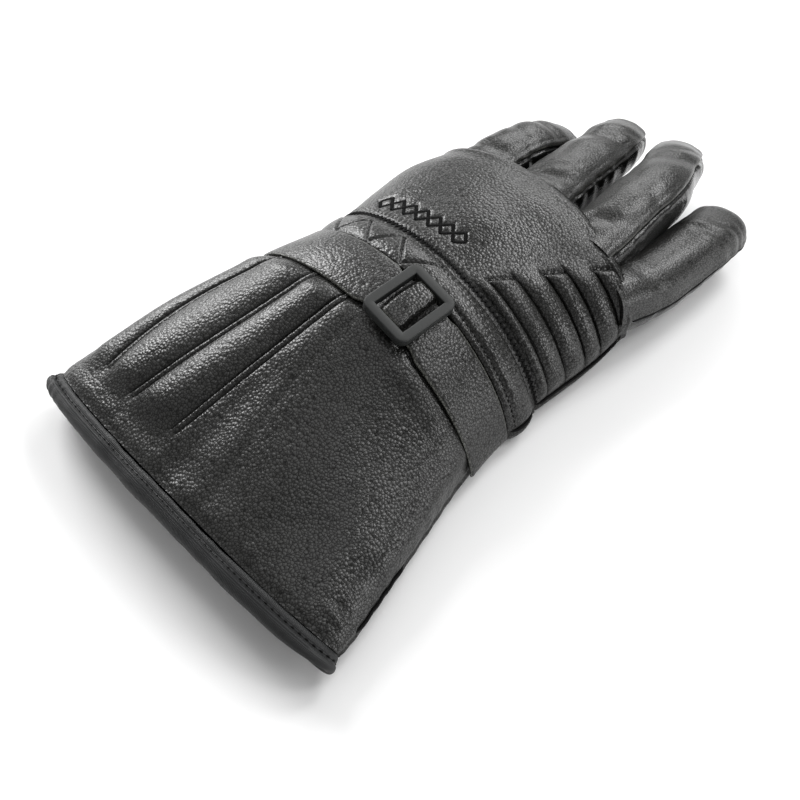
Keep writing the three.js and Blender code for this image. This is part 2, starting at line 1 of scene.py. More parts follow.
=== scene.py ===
"""Gauntlet glove for motorcycle riding, right hand, palm down: its detailed model.

Shapes are worked out in millimetres in the frame that the solids were drawn in: y = 0 is the edge
of the leather at the hem, +Y runs to the fingertips, +X to the little finger, and z = 0 is the
table. SHIFT brings them to the frame of the part.
"""
import math

import bpy
import numpy as np
from bpy.props import FloatProperty, PointerProperty, StringProperty
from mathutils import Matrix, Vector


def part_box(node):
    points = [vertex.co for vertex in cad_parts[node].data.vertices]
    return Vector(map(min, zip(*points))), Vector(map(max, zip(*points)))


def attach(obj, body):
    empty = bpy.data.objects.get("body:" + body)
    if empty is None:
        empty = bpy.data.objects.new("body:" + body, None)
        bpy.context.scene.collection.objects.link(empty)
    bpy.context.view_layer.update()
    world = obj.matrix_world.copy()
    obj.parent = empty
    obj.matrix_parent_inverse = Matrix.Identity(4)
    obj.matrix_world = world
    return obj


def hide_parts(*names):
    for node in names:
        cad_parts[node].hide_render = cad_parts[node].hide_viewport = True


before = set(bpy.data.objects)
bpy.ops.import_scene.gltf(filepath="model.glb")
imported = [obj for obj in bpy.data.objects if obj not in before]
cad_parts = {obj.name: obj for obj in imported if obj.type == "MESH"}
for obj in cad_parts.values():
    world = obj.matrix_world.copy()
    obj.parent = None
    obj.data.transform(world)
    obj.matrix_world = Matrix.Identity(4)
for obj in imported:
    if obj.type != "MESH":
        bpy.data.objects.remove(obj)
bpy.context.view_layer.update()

bl_info = {
    "name": "Motorcycle gauntlet glove",
    "version": (1, 0, 0),
    "blender": (4, 5, 0),
    "location": "3D View > Sidebar > Glove",
    "description": "Builds a leather gauntlet glove piece by piece",
    "category": "Add Mesh",
}

MM = 0.001

# Places along the glove: where its panels end, the stuffed roll of the wrist band, the seam
# between wrist band and hand with its zigzag stitches, the line sewn at the roll's foot, and
# where the hand turns down to the knuckle edge
GAUNTLET_TO = 120.6
WRIST_FROM, WRIST_TO = 121.1, 139.8
ROLL_FROM, ROLL_TO, ROLL_LINE = 121.0, 137.4, 124.6
WRIST_SEAM, WRIST_ZIGZAG = 139.8, 140.2
HAND_FROM, HAND_FRONT, HAND_TO = 139.9, 211.0, 231.5
FRONT_RADIUS = 9.0

LEATHER_WALL = 3.0
PADDED_WALL = 4.0
WRIST_PUFF = 2.2

# Cross-sections of the glove's body
BODY_COLUMNS = ("y", "left", "right", "floor", "top", "left_seam", "right_seam", "lean", "power")
BODY = np.array([
    (-12, -95, 93, 2, 24, 12, 10, 0, 2.6),
    (0, -93, 90, 1, 28, 14, 10, -4, 2.5),
    (30, -88, 82, -1.5, 40, 18, 10, -8, 2.2),
    (60, -84, 73.5, -1.5, 50, 20, 10, -8, 2.0),
    (95, -72.5, 63.5, -1.5, 60, 22, 10, -8, 2.0),
    (120, -67.5, 59.5, -1.5, 61, 20, 10, -8, 2.0),
    (140, -69, 59, -1.5, 59, 20, 10, -8, 2.0),
    (160, -71.5, 59, -1, 59, 22, 10, -8, 2.0),
    (185, -73, 59.5, 3, 58, 24, 11, -6, 2.1),
    (205, -68, 60, 9, 56, 25, 14, -4, 2.3),
    (222, -65, 60, 13, 49, 28, 20, -2, 2.5),
])
PALM_POWER = 3.2
HEM_BOW, HEM_BOW_REACH = 9.0, 60.0
KNUCKLE_BOW, KNUCKLE_FROM, KNUCKLE_REACH = 17.0, 170.0, 48.0
KNUCKLE_CENTRE, KNUCKLE_SPAN = -18.0, 78.0

# Hem binding
BINDING_WIDTH, BINDING_THICKNESS = 9.0, 6.0
BINDING_MIDDLE = -0.3 - BINDING_WIDTH / 2
STITCH_ON_BINDING = -3.3

# Pintucks on the back of the gauntlet: the angle round the section, how far it leans over every
# 40 mm and bows by its square, and where the tuck starts along the glove
PINTUCKS = np.array([(1.62, -0.06, 0.0, 14.0), (1.93, -0.07, 0.0, 13.0), (2.4, 0.0, -0.1, 14.0)])
TUCK_HALF = 1.6
TUCK_GROOVE = 0.42
TUCKS_END = 97.0

# Pillows of leather beside the pintucks: the angles where the outer two end, the angle that a
# tuck takes on either side of its middle, and how high each pillow stands
PILLOW_EDGES = (1.4, 2.72)
TUCK_ANGLE = 0.021
PILLOW_HEIGHTS = (1.0, 3.0, 2.8, 2.5)

# Folds of the gauntlet's back: height, width, and the line they follow in x and y
FOLDS = ((0.5, 2.0, [(84, 8), (77, 9)]), (-0.35, 1.5, [(85, 12), (78, 12.5)]),
         (1.8, 8, [(76, 38), (63, 92)]), (-2.0, 15, [(52, 26), (40, 80)]),
         (-1.4, 9, [(-10, 8), (-8, 50)]))

# Sewn lines of the ribs: place along the glove, and x where each line starts
RIB_LINES = np.array([(148.2, 17.7), (159.5, 23.4), (172.0, 28.7), (181.7, 33.2),
                      (193.0, 39.5), (201.2, 43.8)])
# How high the leather stands before the first line, between the lines and after the last one
RIB_HEIGHTS = np.array([2.4, 2.9, 2.9, 2.7, 2.8, 2.3, 1.2])
RIBS_FROM, RIBS_TO = 142.6, 212.0
RIB_LINES_END = 57.5
CLOSED_RIBS = (1, 3, 5)

# Row of diamonds sewn on the back of the hand; it slants by a share of its length
MOTIF_Y, MOTIF_HEIGHT, MOTIF_FROM, MOTIF_STEP, MOTIF_SLANT = 151.0, 4.0, -57.0, 7.4, 0.06

# Quilting of the wrist band, x and y of its corners
QUILTING = np.array([(-60, 136), (-50, 122), (-41, 135.5), (-30, 122), (-20.5, 136.5),
                     (-9, 122.5), (3.8, 136.5)])

# Fingers and thumb: cross-sections square to the centre line, root to tip
FINGERS = {
    "index": {"seams": (0.72, 0.0), "rows": (
        (-46.8, 212, 32, 14.6, 14.8), (-47, 229, 32.3, 14.1, 14.3), (-46.5, 244, 30.5, 13.7, 13.8),
        (-45.5, 257, 26.6, 13.2, 12.3), (-46.4, 264.5, 22.5, 12.2, 10.9))},
    "middle": {"seams": (0.58, 0.58), "rows": (
        (-11.3, 216, 35.5, 16, 15.1), (-14, 237.5, 34.7, 15, 14.2), (-16.8, 258.5, 31.7, 14.5, 13.6),
        (-20.3, 278, 28.4, 13.6, 12.7), (-24, 290, 23.6, 12.5, 11.7))},
    "ring": {"seams": (0.66, 0.58), "rows": (
        (26, 212, 36, 16.5, 15), (23, 239, 36, 15.9, 15), (19.5, 263, 33.5, 15.4, 14.5),
        (10.5, 287, 27, 14.2, 13.3), (4, 302.5, 19, 13.4, 11.8))},
    "little": {"seams": (-0.05, 0.6), "rows": (
        (45.5, 204, 24, 15.5, 15.5), (48.2, 223.5, 21, 15.5, 14.8), (49, 243, 20, 15.2, 14),
        (49.3, 264.5, 20.2, 14.3, 13.2), (47.8, 279, 18, 13.8, 12))},
    "thumb": {"seams": (0.3, 0.1), "rows": (
        (-40, 151, 22, 14, 13), (-51, 162, 17.5, 14.5, 12.5), (-60, 174, 13.5, 14.5, 12.2),
        (-64, 188, 12.4, 14.2, 12.1), (-62, 200, 12.2, 13.2, 11.8))},
}
FINGER_POWER = 2.4

# Creases across the fingers: share of the length, width in shares, depth in mm, slant in shares,
# and the angle round the finger where a crease is deepest (a quarter turn is the ridge)
CREASES = {
    "index": ((0.12, 0.05, 0.5, 0.05, 1.9), (0.38, 0.05, 0.3, -0.06, 1.7),
              (0.64, 0.06, 0.6, 0.04, 1.6)),
    "middle": ((0.06, 0.05, 0.9, 0.1, 1.8), (0.16, 0.04, 0.5, 0.14, 1.9),
               (0.6, 0.07, 0.9, 0.06, 1.5), (0.71, 0.04, 0.35, 0.1, 1.2)),
    "ring": ((0.05, 0.045, 0.8, 0.1, 1.9), (0.34, 0.05, 0.35, -0.08, 1.3),
             (0.64, 0.07, 1.0, 0.05, 1.5), (0.75, 0.04, 0.4, 0.1, 1.2)),
    "little": ((0.1, 0.05, 0.35, 0.1, 1.2), (0.7, 0.03, 0.45, 0.08, 0.9),
               (0.8, 0.03, 0.35, 0.1, 0.6)),
    "thumb": ((0.45, 0.05, 0.9, 0.05, 1.5), (0.6, 0.04, 0.7, -0.05, 1.4)),
}

# Strap
STRAP_FROM, STRAP_WIDTH, STRAP_THICKNESS, STRAP_LIFT = 94.6, 25.8, 1.8, 0.8
STRAP_AIR = 0.15   # how far the drawn band stands off, where the leather dips under it
STRAP_SQUEEZE = 1.8
STRAP_MIDDLE = STRAP_FROM + STRAP_WIDTH / 2
STRAP_OUTER = STRAP_LIFT + STRAP_THICKNESS

# Buckle
BUCKLE_X, BUCKLE_LENGTH, BUCKLE_WIDTH, BUCKLE_HEIGHT = 11.0, 26.0, 31.5, 4.6
BUCKLE_RAIL, BUCKLE_CORNER, BUCKLE_LIFT = 4.3, 4.0, 0.7
BAR_WIDTH, BAR_HEIGHT, BAR_CLEARANCE = 3.0, 1.6, 0.9
HUMP_REACH = 8.8
OVER_BAR = BUCKLE_LIFT + BAR_HEIGHT + BAR_CLEARANCE + STRAP_THICKNESS

# Lights: name, place in m, side in m, power in W
SOFTBOXES = (
    ("left_softbox", (-0.98, 0.12, 0.68), 0.5, 10.0),
    ("finger_softbox", (0.0, 0.9, 0.9), 0.42, 6.0),
    ("thumb_side_softbox", (-0.55, 0.9, 0.58), 0.45, 3.5),
    ("ridge_softbox", (0.48, 0.56, 0.9), 0.35, 3.0),
    ("low_left_softbox", (-1.02, 0.1, 0.4), 0.6, 4.0),
    ("low_right_softbox", (1.0, 0.48, 0.32), 0.4, 3.0),
    ("overhead_softbox", (0.08, 0.05, 1.2), 0.5, 1.2),
)
AMBIENT = 0.42

# Camera: direction to it in degrees, distance in m, the point it aims at in mm, focal length in mm
CAMERA_AZIMUTH, CAMERA_ELEVATION, CAMERA_DISTANCE = 47.2, 51.3, 0.5138
CAMERA_AIM, CAMERA_LENS = (21.1, 94.6, 20.0), 54


# Shape of the glove's body

def curve(rows, column, at):
    """Smooth curve through one column of a table, over its first column: a cubic piece between
    two rows, whose end slopes weigh the rises on either side by the other's length."""
    x, v = rows[:, 0], rows[:, column]
    step = np.diff(x)
    rise = np.diff(v) / step
    inner = (rise[:-1] * step[1:] + rise[1:] * step[:-1]) / (step[:-1] + step[1:])
    slope = np.concatenate([rise[:1], inner, rise[-1:]])
    at = np.clip(at, x[0], x[-1])
    k = np.clip(np.searchsorted(x, at, side="right") - 1, 0, len(step) - 1)
    t = (at - x[k]) / step[k]
    return ((2 * t**3 - 3 * t**2 + 1) * v[k] + (t**3 - 2 * t**2 + t) * step[k] * slope[k]
            + (3 * t**2 - 2 * t**3) * v[k + 1] + (t**3 - t**2) * step[k] * slope[k + 1])


def signed_power(value, power):
    """The power of the size of a value, with the value's sign."""
    return np.sign(value) * np.abs(value) ** power


def bell(distance, width):
    """Gaussian of height 1."""
    return np.exp(-((distance / width) ** 2))


def smooth(low, high, value):
    """0 at low, 1 at high, flat beyond both, and an S-curve between them."""
    t = np.clip((value - low) / (high - low), 0, 1)
    return t * t * (3 - 2 * t)


def noise(p, size, seed):
    """Soft random bumps from -1 to 1, about size mm apart: random values on the corners of a
    cubic lattice, blended by S-curves."""
    table = np.random.default_rng(seed).uniform(-1, 1, 4096)
    q = np.asarray(p, float) / size + 100.0
    base = np.floor(q).astype(np.int64)
    f = q - base
    f = f * f * (3 - 2 * f)
    total = 0.0
    for corner in np.ndindex(2, 2, 2):
        c = base + np.array(corner)
        key = (c[..., 0] * 73856093) ^ (c[..., 1] * 19349663) ^ (c[..., 2] * 83492791)
        weight = np.prod(np.where(np.array(corner) == 1, f, 1 - f), axis=-1)
        total = total + weight * table[key & 4095]
    return total


def body(angle, y, inset=0.0):
    """A point of the body's skin. Each cross-section is an oval of higher power, split at the
    side seams: angle 0 is the right seam, a quarter turn the ridge, half a turn the left seam.
    The mouth's upper lip runs out in a bow, and the knuckle edge curves back at both sides."""
    angle, y, inset = np.broadcast_arrays(angle, y, inset)
    left, right, low, high, left_seam, right_seam, lean, power = (
        curve(BODY, BODY_COLUMNS.index(name), y) for name in BODY_COLUMNS[1:])
    c, s = np.cos(angle), np.sin(angle)
    power = 2 / np.where(s >= 0, power, PALM_POWER)
    across, up = signed_power(c, power), signed_power(s, power)
    left, right, low, high = left + inset, right - inset, low + inset, high - inset
    seam = (left_seam + right_seam) / 2 + (right_seam - left_seam) / 2 * across
    seam = np.clip(seam, low + 1, high - 1)
    x = (left + right) / 2 + (right - left) / 2 * across + np.where(s >= 0, lean * up, 0)
    z = np.maximum(seam + np.where(s >= 0, high - seam, seam - low) * up, inset)
    hem = HEM_BOW * np.clip(1 - y / HEM_BOW_REACH, 0, 1) ** 2 * np.maximum(s, 0)
    knuckle = np.clip((y - KNUCKLE_FROM) / KNUCKLE_REACH, 0, 1) ** 1.5
    bow = KNUCKLE_BOW * knuckle * ((x - KNUCKLE_CENTRE) / KNUCKLE_SPAN) ** 2
    return np.stack([x, y - hem - bow, z], -1)


def hand(angle, way):
    """The body's skin up to the knuckles, where it turns down in a quarter round and then runs
    inwards. way is the distance along the glove."""
    y = np.minimum(way, HAND_FRONT)
    turn = np.clip((way - HAND_FRONT) / FRONT_RADIUS, 0, math.pi / 2)
    inwards = np.maximum(way - HAND_FRONT - FRONT_RADIUS * math.pi / 2, 0)
    inset = FRONT_RADIUS * (1 - np.cos(turn)) + inwards
    return body(angle, y + FRONT_RADIUS * np.sin(turn), inset)


def angle_over(x, y):
    """The angle at which the body's back passes over x, found by halving."""
    x, y = np.broadcast_arrays(np.asarray(x, float), np.asarray(y, float))
    low, high = np.zeros(x.shape), np.full(x.shape, math.pi)
    for _ in range(30):
        middle = (low + high) / 2
        right_of = body(middle, y)[..., 0] > x
        low, high = np.where(right_of, middle, low), np.where(right_of, high, middle)
    return (low + high) / 2


def finger_place(name):
    """place(angle, way) on a finger's skin: an oval of higher power carried along the smooth
    centre line, way from 0 at the root to 1 where the round tip starts. The tip is half an oval
    that closes at way 2."""
    rows = np.array(FINGERS[name]["rows"], float)
    count = len(rows)
    keyed = np.column_stack([np.linspace(0, 1, count), rows])
    length = rows[-1, 1] - rows[0, 1]

    def frame_at(way):
        inside = np.clip(way, 0, 1)
        centre = np.stack([curve(keyed, k, inside) for k in (1, 2, 3)], -1)
        low = np.minimum(inside, 1 - 1e-3)
        ahead = np.stack([curve(keyed, k, low + 1e-3) - curve(keyed, k, low) for k in (1, 2, 3)], -1)
        ahead = ahead / np.linalg.norm(ahead, axis=-1, keepdims=True)
        side = np.cross(ahead, np.array([0.0, 0.0, 1.0]))
        side = side / np.linalg.norm(side, axis=-1, keepdims=True)
        up = np.cross(side, ahead)
        before = np.minimum(way, 0)[..., None] * length
        return (centre + ahead * before, ahead, side, up,
                curve(keyed, 4, inside), curve(keyed, 5, inside))

    def place(angle, way):
        angle, way = np.broadcast_arrays(np.asarray(angle, float), np.asarray(way, float))
        centre, ahead, side, up, half_width, half_height = frame_at(way)
        turn = np.clip(way - 1, 0, 1) * math.pi / 2
        across = half_width * np.cos(turn) * signed_power(np.cos(angle), 2 / FINGER_POWER)
        high = half_height * np.cos(turn) * signed_power(np.sin(angle), 2 / FINGER_POWER)
        out = half_height * np.sin(turn)
        return centre + ahead * out[..., None] + side * across[..., None] + up * high[..., None]

    def above_seam(angle, way):
        """How far a point lies above the finger's side seams, in mm."""
        angle, way = np.broadcast_arrays(np.asarray(angle, float), np.asarray(way, float))
        half_height = curve(keyed, 5, np.clip(way, 0, 1))
        turn = np.clip(way - 1, 0, 1) * math.pi / 2
        right, left = FINGERS[name]["seams"]
        across = signed_power(np.cos(angle), 2 / FINGER_POWER) * np.cos(turn)
        seam = half_height * ((right + left) / 2 + (right - left) / 2 * across)
        return half_height * np.cos(turn) * signed_power(np.sin(angle), 2 / FINGER_POWER) - seam

    return place, above_seam


def lifted(place, a, b, relief):
    """Points of place(a, b), moved along the cross product of the two tangents by
    relief(points, a, b), with that direction and the points before the move."""
    a, b = np.broadcast_arrays(np.asarray(a, float), np.asarray(b, float))
    h = 1e-4
    p = place(a, b)
    n = np.cross(place(a, b + h) - place(a, b - h), place(a + h, b) - place(a - h, b))
    n = n / np.maximum(np.linalg.norm(n, axis=-1, keepdims=True), 1e-12)
    return p + n * relief(p, a, b)[..., None], n, p


def to_line(x, y, corners):
    """Distance in the plane to a line with corners."""
    best = np.full(np.shape(x), 1e9)
    for (x0, y0), (x1, y1) in zip(corners[:-1], corners[1:]):
        dx, dy = x1 - x0, y1 - y0
        t = np.clip(((x - x0) * dx + (y - y0) * dy) / (dx * dx + dy * dy), 0, 1)
        best = np.minimum(best, np.hypot(x - x0 - t * dx, y - y0 - t * dy))
    return best


# Reliefs: how high the leather stands over the smooth skin, in mm

def tuck_angle(tuck, y):
    """The angle round the section of a pintuck's middle: a parabola over y."""
    steps = (y - 50) / 40
    return tuck[0] + tuck[1] * steps + tuck[2] * steps**2


def around(angle, y):
    """How many mm of skin one radian round the section covers."""
    return np.linalg.norm(body(angle + 1e-3, y) - body(angle - 1e-3, y), axis=-1) / 2e-3


def beside_tuck(tuck, angle, y):
    """Distance round the skin from the middle of a pintuck, in mm."""
    at = tuck_angle(tuck, y)
    return (angle - at) * around(at, y)


def tuck_grooves(off):
    """The two sewn grooves of a pintuck, at this distance from its middle."""
    return bell(off - TUCK_HALF, TUCK_GROOVE) + bell(off + TUCK_HALF, TUCK_GROOVE)


def pintuck_relief(angle, y):
    """Each tuck is a narrow raised strip between two sewn grooves. The leather stands up in
    pillows between the tucks and on both sides of them: with s running from 0 to 1 across a
    pillow, its height goes with (4 s (1 - s)) to the power of 0.7."""
    total = 0.0
    for tuck in PINTUCKS:
        off = beside_tuck(tuck, angle, y)
        fade = smooth(tuck[3] - 0.5, tuck[3] + 1.5, y) * (1 - smooth(TUCKS_END - 2, TUCKS_END, y))
        total = total + fade * (0.5 * bell(off, 1.1) - 0.55 * tuck_grooves(off))
    fade = smooth(7, 20, y) * (1 - smooth(86, 97, y))
    lines = [PILLOW_EDGES[0], *(tuck_angle(tuck, y) for tuck in PINTUCKS), PILLOW_EDGES[1]]
    for k, height in enumerate(PILLOW_HEIGHTS):
        low, high = lines[k] + TUCK_ANGLE * (k > 0), lines[k + 1] - TUCK_ANGLE * (k < 3)
        share = np.clip((angle - low) / (high - low), 0, 1)
        total = total + fade * height * (4 * share * (1 - share)) ** 0.7
    return total


def beside_seam(angle):
    """Distance round the skin from the nearer side seam, in mm, taken as the sine of the angle by
    half the glove's width."""
    return np.abs(np.sin(angle)) * 60


def gauntlet_relief(p, angle, y):
    """Pintucks, folds, soft dents, puckers at the hem and the side seams, and a dip under the
    strap."""
    x = p[..., 0]
    above = smooth(0.05, 0.25, np.sin(angle))
    seam = beside_seam(angle)
    dents = 0.8 * noise(p * (1, 0.6, 1), 42, 3) + 0.25 * noise(p * (1, 0.7, 1), 16, 4)
    hem = -0.8 * bell(y, 2.5) + 0.35 * bell(y - 5, 5) * noise(p * (1, 0.25, 1), 6, 5)
    dip = -0.5 * smooth(92, 96, y) + 0.5 * bell(y - 88, 5)
    puckers = bell(seam, 9) * 0.15 * np.cos(y * 2 * math.pi / 9 + 3 * noise(p, 20, 6))
    folds = sum(height * bell(to_line(x, y, line), width) for height, width, line in FOLDS)
    high = above * (pintuck_relief(angle, y) + dip + folds)
    return high + dents + hem + puckers - 0.7 * bell(seam, 2.2)


def wrist_relief(p, angle, y):
    """A stuffed roll with quilting sewn into its back, gathered along the seam with the hand."""
    share = np.clip((y - ROLL_FROM) / (ROLL_TO - ROLL_FROM), 0, 1)
    x = p[..., 0]
    roll = (WRIST_PUFF + 1.0 * smooth(5, 25, x)) * np.sqrt(np.maximum(np.sin(math.pi * share), 0))
    far = 1 - smooth(0, 12, x)
    above = smooth(0.0, 0.3, np.sin(angle))
    quilt = -0.9 * bell(to_line(x, p[..., 1], QUILTING), 0.8) * above * far
    near_line = -0.8 * bell(y - ROLL_LINE, 1.1) * above * (1 - far)
    gathers = 0.2 * bell(y - 135.5, 2.4) * np.cos(x * 2 * math.pi / 2.6 + 2.5 * noise(p, 9, 8))
    seam = beside_seam(angle)
    return roll + quilt + near_line + gathers * above + 0.3 * noise(p, 14, 9) - 0.8 * bell(seam, 2)


def rib_edge(y):
    """x at which the ribs start, from line to line."""
    return np.interp(y, RIB_LINES[:, 0], RIB_LINES[:, 1])


def rib_ends():
    """The short lines, as corners in x and y, that close every other channel at its top end."""
    return [[(RIB_LINES[k - 1, 1], RIB_LINES[k - 1, 0]), (RIB_LINES[k, 1], RIB_LINES[k, 0])]
            for k in CLOSED_RIBS]


def rib_lines(y, width):
    """1 on the sewn lines of the ribs, falling off over this width."""
    return bell(np.min(np.abs(y[..., None] - RIB_LINES[:, 0]), axis=-1), width)


def rib_relief(x, y):
    """Stuffed channels between the sewn lines: each is half an oval from line to line, and so are
    the roll before the first line and the leather after the last. Every other channel is closed
    at its top end by a short slanted line."""
    lines = np.concatenate([[RIBS_FROM], RIB_LINES[:, 0], [RIBS_TO]])
    k = np.clip(np.searchsorted(lines, y, side="right") - 1, 0, len(RIB_HEIGHTS) - 1)
    share = np.clip((y - lines[k]) / (lines[k + 1] - lines[k]), 0, 1)
    channel = RIB_HEIGHTS[k] * np.sqrt(4 * share * (1 - share))
    past = x - rib_edge(y)
    inside = np.where(np.isin(k, CLOSED_RIBS), smooth(-0.5, 3, past), smooth(-7, 7, past))
    ends = sum(bell(to_line(x, y, line), 0.8) for line in rib_ends())
    return inside * (channel - 0.5 * rib_lines(y, 0.45)) - 0.9 * np.clip(ends, 0, 1)


def motif_line(phase):
    """Corners of one of the two zigzag lines that form the sewn row of diamonds. Both start and
    end half a step out, at mid-height."""
    k = np.array([0.5, 1, 2, 3, 4, 5, 6, 7, 7.5])
    side = np.where((np.arange(9) + phase) % 2 == 0, 1, -1) * (k % 1 == 0)
    way = MOTIF_STEP * k
    return np.column_stack([MOTIF_FROM + way, MOTIF_Y + MOTIF_SLANT * way + MOTIF_HEIGHT * side])


def shaded_overcast_strip(x, way):
    """1 on the strip under the knuckle edge, 0 elsewhere: overcast stitches stand up on it, and
    painted shade darkens it under the overhang.
    """
    return smooth(212.6, 213.4, way) * smooth(-8, -3, x)


def hand_relief(p, angle, way):
    """Ribs, soft dents, the gathered seam at the wrist and the seam at either side."""
    x, y = p[..., 0], p[..., 1]
    above = smooth(0.0, 0.2, np.sin(angle))
    dents = 0.7 * noise(p, 34, 11) + 0.25 * noise(p, 13, 12)
    gathers = 0.2 * bell(y - 144.2, 1.8) * np.cos(x * 2 * math.pi / 2.5 + 2.5 * noise(p, 8, 13))
    valley = -0.9 * bell(y - WRIST_SEAM, 1.8)
    motif = 0.0
    for phase in (0, 1):
        motif = np.maximum(motif, bell(to_line(x, y, motif_line(phase)), 1.5))
    seam = beside_seam(angle)
    lip = 1.0 * bell(way - 210.5, 3.2) + 0.3 * shaded_overcast_strip(x, way) * np.cos(x * 2 * math.pi / 1.8)
    dents = dents * (1 - 0.6 * above * smooth(14, 30, x))
    groove = -0.8 * bell(seam, 2.2) * (way < 206)
    return above * (rib_relief(x, y) + gathers - 0.6 * motif) + valley + dents + lip + groove


def finger_relief(name, above_seam):
    """relief of a finger: creases across its back, a raised lip where the back panel overlaps
    the side, wrinkles down the sides, and soft dents."""
    creases = CREASES[name]

    def relief(p, angle, way):
        over = above_seam(angle, way)
        back = smooth(-1.0, 1.5, over)
        total = 0.35 * noise(p, 11, 21) + 0.5 * noise(p * (1, 0.8, 1), 24, 22)
        wobble = 0.012 * noise(p, 9, 23)
        for share, width, depth, slant, centre in creases:
            off = way - share - slant * np.cos(angle) + wobble
            reach = bell(angle - centre, 1.15) + bell(angle - centre - 2 * math.pi, 1.15)
            total = total + reach * depth * (0.45 * bell(np.abs(off) - 1.7 * width, width)
                                             - bell(off, width * 0.8))
        lip = 0.6 * smooth(-0.35, 0.25, over) * (1 - smooth(1.0, 3.2, over))
        groove = -1.1 * bell(over + 1.0, 0.75)
        turn = np.clip(way - 1, 0, 1)
        wrinkles = (1 - back) * 0.75 * noise(p * (1, 1, 0.22), 4.5, 24) * smooth(-16, -5, over)
        return total + (lip + groove) * (1 - 0.3 * turn) + wrinkles
    return relief


# Mesh building

SHIFT = np.array([0.0, 0.0, 0.0])


def find_shift():
    """The strap's edge gives the shift along the glove, and the binding's right side across it."""
    right = body(0.0, BINDING_MIDDLE, (LEATHER_WALL - BINDING_THICKNESS) / 2)[0]
    SHIFT[0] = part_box("hem_binding")[1].x / MM - right
    SHIFT[1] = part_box("strap")[0].y / MM - STRAP_FROM


def grid_faces(rows, columns, loop=False, ring=False):
    """Four-sided faces between neighbouring points of a grid that is numbered row by row. loop
    joins the last column to the first, and ring the last row to the first. The faces point
    outwards where columns turn against the rows' way."""
    i, j = np.meshgrid(np.arange(rows - (not ring)), np.arange(columns - (not loop)), indexing="ij")
    this, after = i * columns, (i + 1) % rows * columns
    k = (j + 1) % columns
    return np.stack([this + j, after + j, after + k, this + k], -1).reshape(-1, 4)


def rim_faces(outer, inner, every):
    """Faces between a finely divided edge and a coarse one: every step of the coarse edge takes
    that many points of the fine one."""
    steps = np.arange(len(inner) - 1)
    fine = [outer[steps * every + k] for k in range(every + 1)]
    return np.stack([*fine, inner[steps + 1], inner[steps]], -1)


def make_piece(name, points, faces, material, replaced=(), slot=None, values=None, uv=None, sharp=50):
    """One mesh object from points in mm and face arrays, with a float attribute per value."""
    mesh = bpy.data.meshes.new(name)
    mesh.from_pydata(((points + SHIFT) * MM).tolist(), [], sum((f.tolist() for f in faces), []))
    for key, numbers in (values or {}).items():
        attribute = mesh.attributes.new(key, "FLOAT", "POINT")
        attribute.data.foreach_set("value", np.asarray(numbers, np.float32))
    if uv is not None:
        corner = np.empty(len(mesh.loops), np.int32)
        mesh.loops.foreach_get("vertex_index", corner)
        layer = mesh.uv_layers.new(name="weave")
        layer.uv.foreach_set("vector", uv[corner].astype(np.float32).ravel())
    mesh.shade_smooth()
    mesh.set_sharp_from_angle(angle=math.radians(sharp))
    mesh.materials.append(material)
    piece = bpy.data.objects.new(name, mesh)
    bpy.context.scene.collection.objects.link(piece)
    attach(piece, "root")
    if replaced:
        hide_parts(*replaced)
    return piece


def walled(outer, normals, smooth_skin, wall, every=4):
    """Closed wall from an open grid: the inner side is the smooth skin moved inwards, at every
    fourth point or so, and rims join the two. Returns points, faces and the inner points' count."""
    rows, columns = outer.shape[:2]
    inner = (smooth_skin - normals * wall)[::every, ::every]
    inner[..., 2] = np.maximum(inner[..., 2], 0.4)
    few_rows, few = inner.shape[:2]
    start = rows * columns
    number = np.arange(rows * columns).reshape(rows, columns)
    coarse = start + np.arange(few_rows * few).reshape(few_rows, few)
    faces = [
        grid_faces(rows, columns),
        grid_faces(few_rows, few)[:, ::-1] + start,
        rim_faces(number[0], coarse[0], every),
        rim_faces(number[-1, ::-1], coarse[-1, ::-1], every),
        rim_faces(number[::-1, 0], coarse[::-1, 0], every),
        rim_faces(number[:, -1], coarse[:, -1], every),
    ]
    points = np.concatenate([outer.reshape(-1, 3), inner.reshape(-1, 3)])
    return points, faces, len(points) - start


def with_inner(values, extra):
    """The values of a skin's points, followed by a zero for each extra one."""
    return {key: np.concatenate([np.ravel(v), np.zeros(extra)]) for key, v in values.items()}


def capped(rings_grid):
    """Closed skin from rings: both ends are closed by fans."""
    rows, columns = rings_grid.shape[:2]
    ends = np.stack([rings_grid[0].mean(0), rings_grid[-1].mean(0)])
    points = np.concatenate([rings_grid.reshape(-1, 3), ends])
    j = np.arange(columns)
    k = (j + 1) % columns
    last = (rows - 1) * columns
    first_fan = np.stack([j, k, np.full(columns, rows * columns)], -1)
    last_fan = np.stack([last + k, last + j, np.full(columns, rows * columns + 1)], -1)
    return points, [grid_faces(rows, columns, True), first_fan, last_fan]


def spaced(points, normals, spacing):
    """Points, directions and normals at even steps along a path."""
    step = np.linalg.norm(np.diff(points, axis=0), axis=1)
    way = np.concatenate([[0], np.cumsum(step)])
    count = max(int(way[-1] / spacing), 1)
    at = (np.arange(count) + 0.5) * way[-1] / count

    def between(values, where):
        return np.stack([np.interp(where, way, values[:, k]) for k in range(3)], -1)

    ahead = between(points, at + 0.2) - between(points, at - 0.2)
    ahead /= np.maximum(np.linalg.norm(ahead, axis=1, keepdims=True), 1e-9)
    n = between(normals, at)
    n /= np.linalg.norm(n, axis=1, keepdims=True)
    return between(points, at), ahead, n


